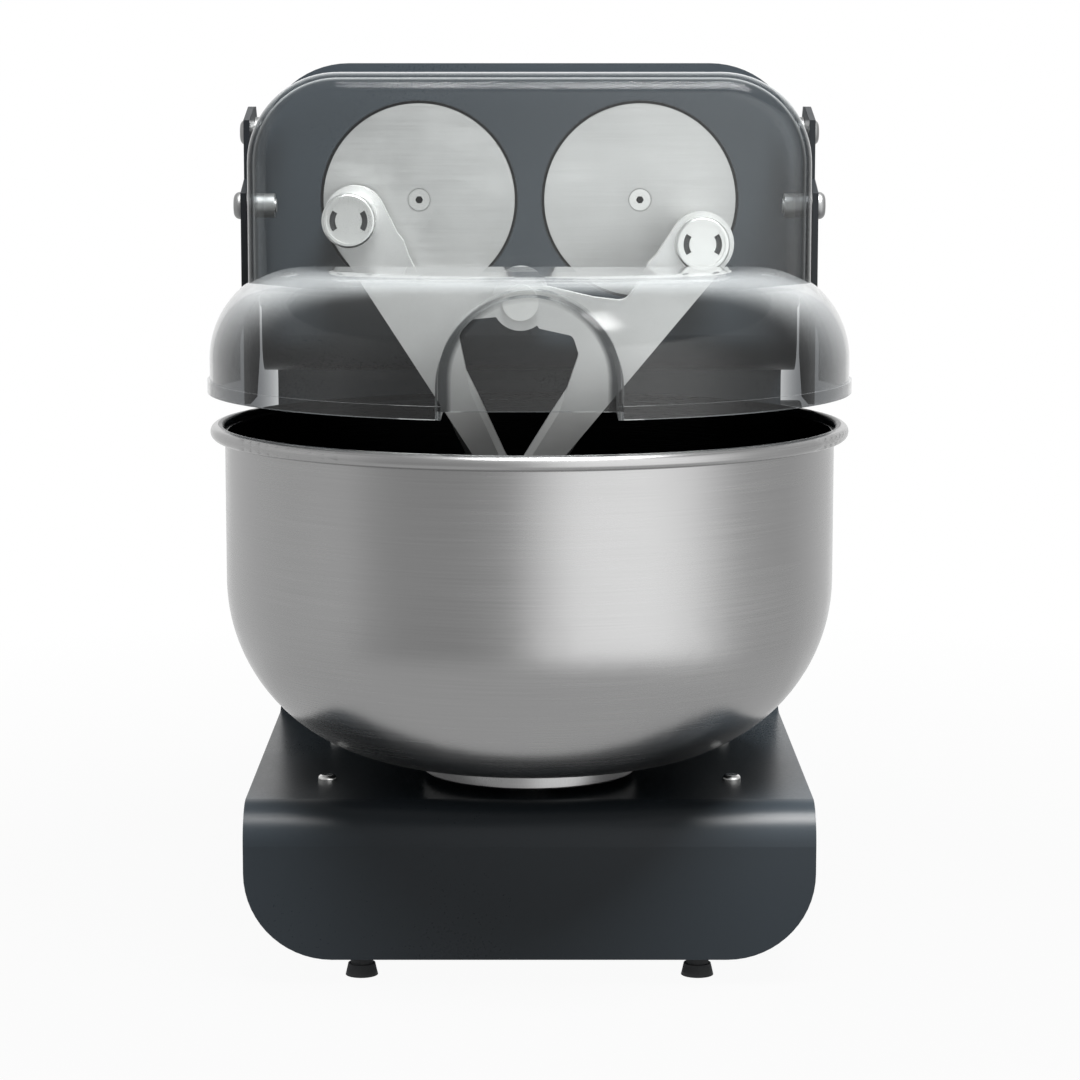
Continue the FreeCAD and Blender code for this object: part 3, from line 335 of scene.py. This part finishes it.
def clear_sheet(name, tones, sizes):
    """A thin clear sheet, with pale haze and shine that grow at a low angle."""
    material, tree = blank(name)
    place = add(tree, "ShaderNodeTexCoord", {})
    slope = add(tree, "ShaderNodeLayerWeight", {})
    wave = add(tree, "ShaderNodeTexNoise", {"Vector": place.outputs["Object"], "Scale": 1 / sizes.ripple})
    gloss = add(tree, "ShaderNodeMapRange", {
        "Value": wave.outputs["Fac"], "To Min": GLOSS_LEAST, "To Max": GLOSS_MOST})
    # Round the front arch the moulded corner bends the view to the dark bowl, so a band reads nearly black.
    arched = add(tree, "ShaderNodeMix", {
        "Factor": arch_share(tree, place, sizes), "A": rgba(tones.sheet), "B": rgba(tones.arch)},
        data_type="RGBA")
    # Walls that look sideways, seen at a slant, mirror the dark body beside them.
    tint = add(tree, "ShaderNodeMix", {
        "Factor": slant_share(tree, place, slope), "A": arched.outputs["Result"], "B": rgba(tones.slant)},
        data_type="RGBA")
    through = add(tree, "ShaderNodeBsdfTransparent", {"Color": tint.outputs["Result"]})
    haze = add(tree, "ShaderNodeMapRange", {
        "Value": slope.outputs["Facing"], "From Min": HAZE_FROM, "From Max": HAZE_TO,
        "To Min": HAZE_LEAST, "To Max": HAZE_MOST}, interpolation_type="SMOOTHSTEP")
    milk = add(tree, "ShaderNodeBsdfPrincipled", {
        "Base Color": rgba(tones.clear), "Roughness": gloss.outputs[0], "IOR": SHEET_IOR})
    body = add(tree, "ShaderNodeMixShader", {0: haze.outputs[0], 1: through.outputs[0], 2: milk.outputs[0]})
    # A power of the facing value, since both faces of the thin sheet must shine alike.
    steep = add(tree, "ShaderNodeMath", {0: slope.outputs["Facing"], 1: SHINE_POWER}, operation="POWER")
    shine = add(tree, "ShaderNodeMapRange", {
        "Value": steep.outputs[0], "To Min": SHINE_LEAST, "To Max": SHINE_MOST})
    glint = add(tree, "ShaderNodeBsdfGlossy", {"Color": rgba(tones.light), "Roughness": gloss.outputs[0]})
    both = add(tree, "ShaderNodeMixShader", {0: shine.outputs[0], 1: body.outputs[0], 2: glint.outputs[0]})
    add(tree, "ShaderNodeOutputMaterial", {"Surface": both.outputs[0]})
    return material


def dress(material, *names):
    for name in names:
        mesh = NODES[name].data
        mesh.materials.clear()
        mesh.materials.append(material)


def piece(name, verts, faces, material, body):
    """A mesh piece that rides on a body, or stands free where there is none."""
    mesh = bpy.data.meshes.new(name)
    mesh.from_pydata(verts, [], faces)
    mesh.materials.append(material)
    made = bpy.data.objects.new(name, mesh)
    bpy.context.scene.collection.objects.link(made)
    shape = bmesh.new()
    shape.from_mesh(mesh)
    bmesh.ops.recalc_face_normals(shape, faces=shape.faces)
    shape.to_mesh(mesh)
    shape.free()
    if body:
        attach(made, body)
    return made


def prism(ring, push):
    """Corners and faces of a flat ring pushed along a vector."""
    count = len(ring)
    verts = [tuple(p) for p in ring] + [tuple(p + push) for p in ring]
    faces = [tuple(range(count)), tuple(range(count, 2 * count))]
    faces += [(i, (i + 1) % count, count + (i + 1) % count, count + i) for i in range(count)]
    return verts, faces


def round_at(centre, radius, turn):
    """The point at an angle of a circle that faces the front."""
    return centre + radius * Vector((math.cos(turn), 0, math.sin(turn)))


def arc_band(centre, inner, outer, start, end, steps):
    """Corners of a flat band that faces the front, between two radii and two angles."""
    turns = [start + (end - start) * k / steps for k in range(steps + 1)]
    far = [round_at(centre, outer, turn) for turn in turns]
    near = [round_at(centre, inner, turn) for turn in turns]
    return far + near[::-1]


def join(parts):
    """One list of corners and faces from several."""
    verts, faces = [], []
    for more_verts, more_faces in parts:
        start = len(verts)
        verts += more_verts
        faces += [tuple(start + i for i in face) for face in more_faces]
    return verts, faces


def face_centre(name, setback):
    """The middle of a node's front face, set back by a depth, and half the node's height."""
    low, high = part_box(name)
    return Vector(((low.x + high.x) / 2, low.y + setback, (low.z + high.z) / 2)), (high.z - low.z) / 2


class MIXER_OT_body(bpy.types.Operator):
    """Powder-coat the folded steel body, its back and the lid's cheeks"""
    bl_idname = "mixer.body"
    bl_label = "Body"

    def execute(self, context):
        tones, sizes = context.scene.mixer_colours, context.scene.mixer_sizes
        # A satin coat with a faint orange peel that softens each reflection.
        coat = grained("powder coated sheet steel", tones.paint, sizes.peel, rough=0.3, relief=0.0008 * MM,
                       patch=120 * MM, contrast=0.04, mirror=0.28)
        dress(coat, "housing", "rear_cover")
        # The plates have a deeper black of the same satin.
        plate = grained("black powder coated plate", tones.cheek, sizes.peel, rough=0.35,
                        relief=0.0008 * MM, contrast=0.04, mirror=0.28)
        dress(plate, "lid_cheek_left", "lid_cheek_right")
        return {"FINISHED"}


class MIXER_OT_cranks(bpy.types.Operator):
    """Brush the crank discs, and set painted shade in their running gaps and at the bottoms of their screw
    sockets
    """
    bl_idname = "mixer.cranks"
    bl_label = "Crank discs"

    def execute(self, context):
        tones, sizes = context.scene.mixer_colours, context.scene.mixer_sizes
        # Straight brush lines give a soft grey sheen with faint level streaks.
        brushed = grained("brushed stainless disc", tones.disc, sizes.brush, rough=0.38, relief=0.01 * MM,
                          metal=1.0, spread=(60, 60, 1), contrast=0.06)
        dress(brushed, "crank_disc_left", "crank_disc_right")
        # Painted shade: matt black pieces that stand in for the shade in the running gaps and at the bottoms
        # of the screw sockets.
        painted_shade = grained("black painted shade", tones.painted_shade, sizes.grain, rough=0.9, relief=0.05 * MM,
                       contrast=0.2, mirror=0.1)
        quarter = math.pi / 2
        for side in SIDES:
            centre, edge = face_centre("crank_disc_" + side, sizes.shade_ring_set)
            inner = edge + sizes.shade_ring_gap
            outer = inner + sizes.shade_ring_wide
            push = Vector((0, sizes.shade_ring_deep, 0))
            bands = [arc_band(centre, inner, outer, k * quarter, (k + 1) * quarter, SHADE_RING_STEPS)
                     for k in range(4)]
            felts = join([prism(band, push) for band in bands])
            shade_ring = piece("disc_shade_ring_" + side, *felts, painted_shade, "frame")
            # Painted shade: a dark hexagon at the socket's bottom stands in for the shade inside the screw's
            # socket.
            centre = face_centre("disc_screw_" + side, sizes.socket_set)[0]
            ring = [round_at(centre, sizes.socket, 2 * math.pi * k / SOCKET_SIDES)
                    for k in range(SOCKET_SIDES)]
            push = Vector((0, sizes.socket_deep, 0))
            socket = piece("screw_socket_" + side, *prism(ring, push), painted_shade, "crank_" + side)
        return {"FINISHED"}


class MIXER_OT_bowl(bpy.types.Operator):
    """Give the bowl and its turntable their spun and turned steel, with painted shade on the bowl's inside
    """
    bl_idname = "mixer.bowl"
    bl_label = "Bowl"

    def execute(self, context):
        tones, sizes = context.scene.mixer_colours, context.scene.mixer_sizes
        # Spinning leaves fine level lines that spread each reflection up and down.
        spun = grained("spun stainless bowl", tones.bowl, sizes.spin, rough=0.25, relief=0.006 * MM,
                       metal=1.0, spread=(80, 80, 1), patch=90 * MM, contrast=0.05)
        low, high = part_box("bowl")
        tree = spun.node_tree
        # Faces that look at the axis are the inside, which gets painted shade: a dark tone that stands in
        # for the shadow and dark reflections in the deep bowl.
        place = add(tree, "ShaderNodeTexCoord", {})
        out = add(tree, "ShaderNodeVectorMath", {
            0: place.outputs["Object"], 1: (0, (low.y + high.y) / 2, 0)}, operation="SUBTRACT")
        level = add(tree, "ShaderNodeVectorMath", {0: out.outputs[0], 1: (1, 1, 0)}, operation="MULTIPLY")
        reach = add(tree, "ShaderNodeVectorMath", {
            0: level.outputs[0], 1: place.outputs["Normal"]}, operation="DOT_PRODUCT")
        inner = add(tree, "ShaderNodeMath", {
            0: reach.outputs["Value"], 1: INSIDE_REACH}, operation="LESS_THAN")
        recolour(tree, inner.outputs[0], rgba(tones.inside))
        dress(spun, "bowl")
        # Faced on a lathe, with a clean bright rim.
        table = grained("turned stainless table", tones.bowl, sizes.turning, rough=0.3, relief=0.006 * MM,
                        metal=1.0, spread=(1, 1, 4))
        dress(table, "turntable")
        return {"FINISHED"}


class MIXER_OT_arms(bpy.types.Operator):
    """Blast the arms and finish the release knobs, with painted shade in their grip slots"""
    bl_idname = "mixer.arms"
    bl_label = "Arms"

    def execute(self, context):
        tones, sizes = context.scene.mixer_colours, context.scene.mixer_sizes
        # Blasting leaves an even pale grey with no clear reflection.
        blasted = grained("bead blasted stainless arm", tones.arm, sizes.grit, rough=0.42, relief=0.02 * MM,
                          metal=1.0, contrast=0.08)
        # Below the bowl's rim the shanks stand in its shade and mirror its dark inside.
        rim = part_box("bowl")[1].z
        tree = blasted.node_tree
        place = add(tree, "ShaderNodeTexCoord", {})
        point = add(tree, "ShaderNodeSeparateXYZ", {0: place.outputs["Object"]})
        deep = add(tree, "ShaderNodeMapRange", {
            "Value": point.outputs["Z"], "From Min": rim - sizes.shade_below,
            "From Max": rim + sizes.shade_above, "To Min": 1.0, "To Max": 0.0},
            interpolation_type="SMOOTHSTEP")
        recolour(tree, deep.outputs[0], rgba(tones.arm, ARM_SHADE))
        dress(blasted, "arm_left", "arm_right")
        # Turned and satin polished, so the rims catch a bright line.
        turned = grained("satin turned stainless", tones.bright, sizes.turning, rough=0.3,
                         relief=0.008 * MM, metal=1.0, spread=(1, 8, 1), contrast=0.05)
        dress(turned, "release_knob_left", "release_knob_right", "crank_pin_left", "crank_pin_right",
              "arm_pivot")
        # Painted shade: half-matt dark pieces deep in the grip slots, so the slots read as two dark arcs on
        # the bright knob.
        enamel = grained("painted grip slot shade", tones.black, sizes.grain, rough=0.5, relief=0.01 * MM)
        half = sizes.grip_sweep / 2
        push = Vector((0, sizes.grip_deep, 0))
        for side in SIDES:
            centre = face_centre("release_knob_" + side, sizes.grip_set)[0]
            inner, outer = sizes.grip_in, sizes.grip_out
            arcs = [arc_band(centre, inner, outer, middle - half, middle + half, GRIP_STEPS)
                    for middle in (0, math.pi)]
            inlays = join([prism(arc, push) for arc in arcs])
            grip = piece("knob_grips_" + side, *inlays, enamel, side + "_knob")
        return {"FINISHED"}


class MIXER_OT_lid(bpy.types.Operator):
    """Give the lid its clear sheet"""
    bl_idname = "mixer.lid"
    bl_label = "Lid"

    def execute(self, context):
        tones, sizes = context.scene.mixer_colours, context.scene.mixer_sizes
        # Formed sheet shows what is behind it, and its curved edges draw pale lines.
        dress(clear_sheet("thermoformed clear polycarbonate", tones, sizes), "lid")
        return {"FINISHED"}


class MIXER_OT_fasteners(bpy.types.Operator):
    """Plate the bolts, screws, nuts and spacers"""
    bl_idname = "mixer.fasteners"
    bl_label = "Fasteners"

    def execute(self, context):
        tones, sizes = context.scene.mixer_colours, context.scene.mixer_sizes
        # Bright plating: clear small highlights on the round heads.
        plated = grained("bright zinc plated steel", tones.bright, sizes.turning, rough=0.2,
                         relief=0.004 * MM, metal=1.0, contrast=0.05)
        dress(plated, "rear_screws", "base_screws", "disc_screw_left", "disc_screw_right")
        # Passivated zinc is greyer and blurs what it mirrors.
        zinc = grained("passivated zinc plate", tones.zinc, sizes.turning, rough=0.38, relief=0.006 * MM,
                       metal=1.0, contrast=0.08)
        dress(zinc, "hinge_bolts", "hinge_spacers", "lid_bolts", "lid_spacers", "lid_nuts")
        return {"FINISHED"}


class MIXER_OT_controls(bpy.types.Operator):
    """Finish the buttons, the speed dial with its scale, and the mains inlet"""
    bl_idname = "mixer.controls"
    bl_label = "Controls"

    def execute(self, context):
        tones, sizes = context.scene.mixer_colours, context.scene.mixer_sizes
        # Moulded plastic with a fine spark-eroded grain that dulls its shine.
        black = grained("moulded black plastic", tones.black, sizes.grain, rough=0.45, relief=0.02 * MM)
        dress(black, "speed_knob", "button_collars", "control_box", "power_inlet")
        # The caps are smoother, with a clear highlight on strong colours.
        green = grained("moulded green plastic", tones.start, sizes.grain, rough=0.3, relief=0.01 * MM)
        dress(green, "start_button")
        red = grained("moulded red plastic", tones.stop, sizes.grain, rough=0.3, relief=0.01 * MM)
        dress(red, "stop_button")
        # Flat printed marks, pale and matt on the dark coat.
        ink = grained("pale screen print", tones.disc, sizes.grain, rough=0.6, relief=0.005 * MM)
        low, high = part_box("speed_knob")
        centre = (low + high) / 2
        middle = Vector((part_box("button_collars")[0].x, centre.y, centre.z))
        reach = (high.z - low.z) / 2 + sizes.tick_gap
        push = Vector((sizes.tick_deep, 0, 0))
        marks = []
        for k in range(sizes.ticks):
            turn = sizes.tick_sweep * (k / (sizes.ticks - 1) - 0.5)
            out = Vector((0, math.sin(turn), math.cos(turn)))
            side = Vector((0, math.cos(turn), -math.sin(turn))) * sizes.tick_wide / 2
            root = middle + out * reach
            far = root + out * sizes.tick
            marks.append(prism([root - side, root + side, far + side, far - side], push))
        scale = piece("speed_scale", *join(marks), ink, "frame")
        return {"FINISHED"}


class MIXER_OT_drive(bpy.types.Operator):
    """Finish the gears, shafts, plates and motor in the casing"""
    bl_idname = "mixer.drive"
    bl_label = "Drive"

    def execute(self, context):
        tones, sizes = context.scene.mixer_colours, context.scene.mixer_sizes
        # Turned and ground steel with close tool marks.
        steel = grained("machined steel", tones.machined, sizes.turning, rough=0.35, relief=0.01 * MM,
                        metal=1.0, spread=(1, 1, 4))
        dress(steel, "bearing_plate_front", "bearing_plate_rear", "head_bearings", "crank_shaft_left",
              "crank_shaft_right", "crank_gear_left", "crank_gear_right", "drive_pinion", "lay_shaft",
              "lay_pulley", "motor_cradle", "motor_shaft", "motor_pulleys", "worm_shaft", "worm_pulley",
              "worm_bearings", "spindle_housing", "bowl_spindle")
        # Stoved enamel: a grey, half-matt coat.
        enamel = grained("stove enamelled motor case", tones.motor, sizes.peel, rough=0.5, relief=0.03 * MM)
        dress(enamel, "motor")
        # Sand-cast bronze: a warm tone with a coarse grain.
        bronze = grained("cast bronze", tones.bronze, sizes.grit, rough=0.35, relief=0.02 * MM, metal=1.0)
        dress(bronze, "worm_wheel")
        return {"FINISHED"}


class MIXER_OT_rubber(bpy.types.Operator):
    """Give the feet and the belts their rubber"""
    bl_idname = "mixer.rubber"
    bl_label = "Rubber"

    def execute(self, context):
        tones, sizes = context.scene.mixer_colours, context.scene.mixer_sizes
        # Matt moulded rubber with a dusty bloom.
        rubber = grained("moulded rubber", tones.rubber, sizes.grain, rough=0.75, relief=0.03 * MM,
                         contrast=0.2)
        dress(rubber, "feet", "head_belt", "bowl_belt")
        return {"FINISHED"}


def area_lamp(name, watts, place, target, width, height):
    light = bpy.data.lights.new(name, "AREA")
    light.shape = "RECTANGLE"
    light.size = width
    light.size_y = height
    light.energy = watts
    lamp = bpy.data.objects.new(name, light)
    lamp.location = place
    lamp.rotation_euler = (target - place).to_track_quat("-Z", "Y").to_euler()
    bpy.context.scene.collection.objects.link(lamp)


def seen_share(tree):
    """1 for rays from the camera, off a glossy surface or through a clear one, and 0 for the rest."""
    path = add(tree, "ShaderNodeLightPath", {})
    straight = add(tree, "ShaderNodeMath", {
        0: path.outputs["Is Camera Ray"], 1: path.outputs["Is Glossy Ray"]}, operation="MAXIMUM")
    seen = add(tree, "ShaderNodeMath", {
        0: straight.outputs[0], 1: path.outputs["Is Transmission Ray"]}, operation="MAXIMUM")
    return seen.outputs[0]


def white_world(light):
    """A white surround that gives only a little light of its own."""
    world = bpy.data.worlds.new("white studio")
    world.use_nodes = True
    tree = world.node_tree
    tree.nodes.clear()
    level = add(tree, "ShaderNodeMapRange", {
        "Value": seen_share(tree), "To Min": WORLD_DIFFUSE, "To Max": 1.0})
    sky = add(tree, "ShaderNodeBackground", {"Color": light, "Strength": level.outputs[0]})
    add(tree, "ShaderNodeOutputWorld", {"Surface": sky.outputs[0]})
    return world


def floor_paper(light, matt_tone, stage):
    """Matt paper with light of its own, which hides the far edge and leaves the shadow near the feet."""
    paper, tree = blank("white paper floor")
    place = add(tree, "ShaderNodeTexCoord", {})
    away = add(tree, "ShaderNodeVectorMath", {0: place.outputs["Object"]}, operation="LENGTH")
    fade = add(tree, "ShaderNodeMapRange", {
        "Value": away.outputs["Value"], "From Min": stage.shadow_from, "From Max": stage.shadow_to,
        "To Min": PAPER_NEAR, "To Max": 1.0})
    share = add(tree, "ShaderNodeMath", {0: seen_share(tree), 1: fade.outputs[0]}, operation="MULTIPLY")
    matt = add(tree, "ShaderNodeBsdfDiffuse", {"Color": matt_tone})
    lit = add(tree, "ShaderNodeEmission", {"Color": light, "Strength": 1.0})
    both = add(tree, "ShaderNodeMixShader", {0: share.outputs[0], 1: matt.outputs[0], 2: lit.outputs[0]})
    add(tree, "ShaderNodeOutputMaterial", {"Surface": both.outputs[0]})
    return paper


def ring_card(light, axis_y, stage):
    """Card whose tone changes round the bowl, with a pale panel on the right for the soft bright patch."""
    card, tree = blank("studio card")
    place = add(tree, "ShaderNodeTexCoord", {})
    offset = add(tree, "ShaderNodeVectorMath", {
        0: place.outputs["Object"], 1: (0, axis_y, 0)}, operation="SUBTRACT")
    point = add(tree, "ShaderNodeSeparateXYZ", {0: offset.outputs[0]})
    front = add(tree, "ShaderNodeMath", {0: point.outputs["Y"], 1: -1.0}, operation="MULTIPLY")
    turn = add(tree, "ShaderNodeMath", {0: point.outputs["X"], 1: front.outputs[0]}, operation="ARCTAN2")
    half_turn = math.radians(CARD_END)
    share = add(tree, "ShaderNodeMapRange", {
        "Value": turn.outputs[0], "From Min": -half_turn, "From Max": half_turn})
    ramp = add(tree, "ShaderNodeValToRGB", {"Fac": share.outputs[0]})
    stops = ramp.color_ramp.elements
    while len(stops) > 1:
        stops.remove(stops[-1])
    stops[0].position = 0
    for index, (degrees, tone) in enumerate(CARD_TONES):
        stop = stops.new((degrees + CARD_END) / (2 * CARD_END)) if index else stops[0]
        stop.color = rgba((1, 1, 1), tone / CARD_PEAK)
    bright = add(tree, "ShaderNodeMath", {0: ramp.outputs["Color"], 1: CARD_PEAK}, operation="MULTIPLY")
    away = add(tree, "ShaderNodeVectorMath", {0: offset.outputs[0]}, operation="LENGTH")
    level = add(tree, "ShaderNodeMapRange", {
        "Value": away.outputs["Value"], "From Min": stage.card_near - stage.card_blend,
        "From Max": stage.card_near + stage.card_blend, "To Min": FLOOR_TONE, "To Max": bright.outputs[0]},
        interpolation_type="SMOOTHSTEP")
    glow = add(tree, "ShaderNodeEmission", {"Color": light, "Strength": level.outputs[0]})
    add(tree, "ShaderNodeOutputMaterial", {"Surface": glow.outputs[0]})
    return card


def roof_card(light):
    """Grey card of one tone."""
    card, tree = blank("overhead card")
    glow = add(tree, "ShaderNodeEmission", {"Color": light, "Strength": ROOF_TONE})
    add(tree, "ShaderNodeOutputMaterial", {"Surface": glow.outputs[0]})
    return card


def swept(profile, end, axis_y):
    """Corners and faces of a profile of radius and height, turned about the bowl's axis to both sides."""
    verts, faces = [], []
    row = len(profile)
    for k in range(CARD_STEPS + 1):
        turn = math.radians(end * (2 * k / CARD_STEPS - 1))
        verts += [(r * math.sin(turn), axis_y - r * math.cos(turn), z) for r, z in profile]
    for k in range(CARD_STEPS):
        for first in range(k * row, k * row + row - 1):
            faces.append((first, first + row, first + row + 1, first + 1))
    return verts, faces


class MIXER_OT_stage(bpy.types.Operator):
    """Set the floor, the reflector cards, the lights and the camera"""
    bl_idname = "mixer.stage"
    bl_label = "Stage"

    def execute(self, context):
        scene, stage, tones = context.scene, context.scene.mixer_stage, context.scene.mixer_colours
        low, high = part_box("bowl")
        axis_y = (low.y + high.y) / 2
        light = rgba(tones.light)
        scene.world = white_world(light)
        half = stage.floor / 2
        floor = piece("floor", [(-half, -half, 0), (half, -half, 0), (half, half, 0), (-half, half, 0)],
                      [(0, 1, 2, 3)], floor_paper(light, rgba(tones.paper), stage), None)

        # One card rings the front and the floor and another hangs overhead: they set the steel's tone.
        ring = [(stage.card_hole, stage.card_low), (stage.card, stage.card_low),
                (stage.card, stage.card_height)]
        roof = [(0.0, stage.card_height), (stage.card, stage.card_height)]
        cards = (("card_ring", ring_card(light, axis_y, stage), CARD_END, ring),
                 ("card_roof", roof_card(light), ROOF_END, roof))
        for name, material, end, profile in cards:
            card = piece(name, *swept(profile, end, axis_y), material, None)
            card.visible_camera = False
            card.visible_diffuse = False
            card.visible_shadow = False
            card.visible_transmission = False

        foot = Vector((0, axis_y, 0))
        aim = Vector((0, 0, stage.aim))
        area_lamp("key", stage.key, foot + stage.key_place, Vector((0, 0, stage.key_aim)),
                  stage.key_wide, stage.key_tall)
        area_lamp("fill", stage.fill, foot + stage.fill_place, aim, stage.fill_wide, stage.fill_tall)
        area_lamp("overhead", stage.top, foot + stage.top_place, aim, stage.top_side, stage.top_side)

        camera_data = bpy.data.cameras.new("photo camera")
        camera_data.sensor_width = SENSOR_MM
        camera_data.lens = SENSOR_MM * FOCAL_PIXELS / PICTURE_PIXELS
        camera_data.shift_x = SHIFT_PIXELS / PICTURE_PIXELS
        camera = bpy.data.objects.new("photo camera", camera_data)
        camera.location = (0, axis_y - stage.camera_away, stage.camera_height)
        camera.rotation_euler = (math.pi / 2 - stage.camera_tilt, 0, 0)
        scene.collection.objects.link(camera)
        scene.camera = camera
        scene.view_settings.view_transform = "Standard"
        return {"FINISHED"}


OPERATORS = (
    MIXER_OT_body, MIXER_OT_cranks, MIXER_OT_bowl, MIXER_OT_arms, MIXER_OT_lid, MIXER_OT_fasteners,
    MIXER_OT_controls, MIXER_OT_drive, MIXER_OT_rubber, MIXER_OT_stage)
GROUPS = {"mixer_colours": MixerColours, "mixer_sizes": MixerSizes, "mixer_stage": MixerStage}


class MIXER_PT_panel(bpy.types.Panel):
    """The mixer's pieces, its stage and their settings"""
    bl_label = "Dough mixer"
    bl_idname = "MIXER_PT_panel"
    bl_space_type = "VIEW_3D"
    bl_region_type = "UI"
    bl_category = "Mixer"

    def draw(self, context):
        for operator in OPERATORS:
            self.layout.operator(operator.bl_idname)
        for name, group in GROUPS.items():
            for setting in group.__annotations__:
                self.layout.prop(getattr(context.scene, name), setting)


def register():
    for group in GROUPS.values():
        bpy.utils.register_class(group)
    for name, group in GROUPS.items():
        setattr(bpy.types.Scene, name, PointerProperty(type=group))
    for operator in OPERATORS:
        bpy.utils.register_class(operator)
    bpy.utils.register_class(MIXER_PT_panel)


def unregister():
    bpy.utils.unregister_class(MIXER_PT_panel)
    for operator in reversed(OPERATORS):
        bpy.utils.unregister_class(operator)
    for name, group in GROUPS.items():
        delattr(bpy.types.Scene, name)
        bpy.utils.unregister_class(group)


def main():
    register()
    for operator in OPERATORS:
        getattr(bpy.ops.mixer, operator.bl_idname.split(".")[1])()


if __name__ == "__main__":
    main()
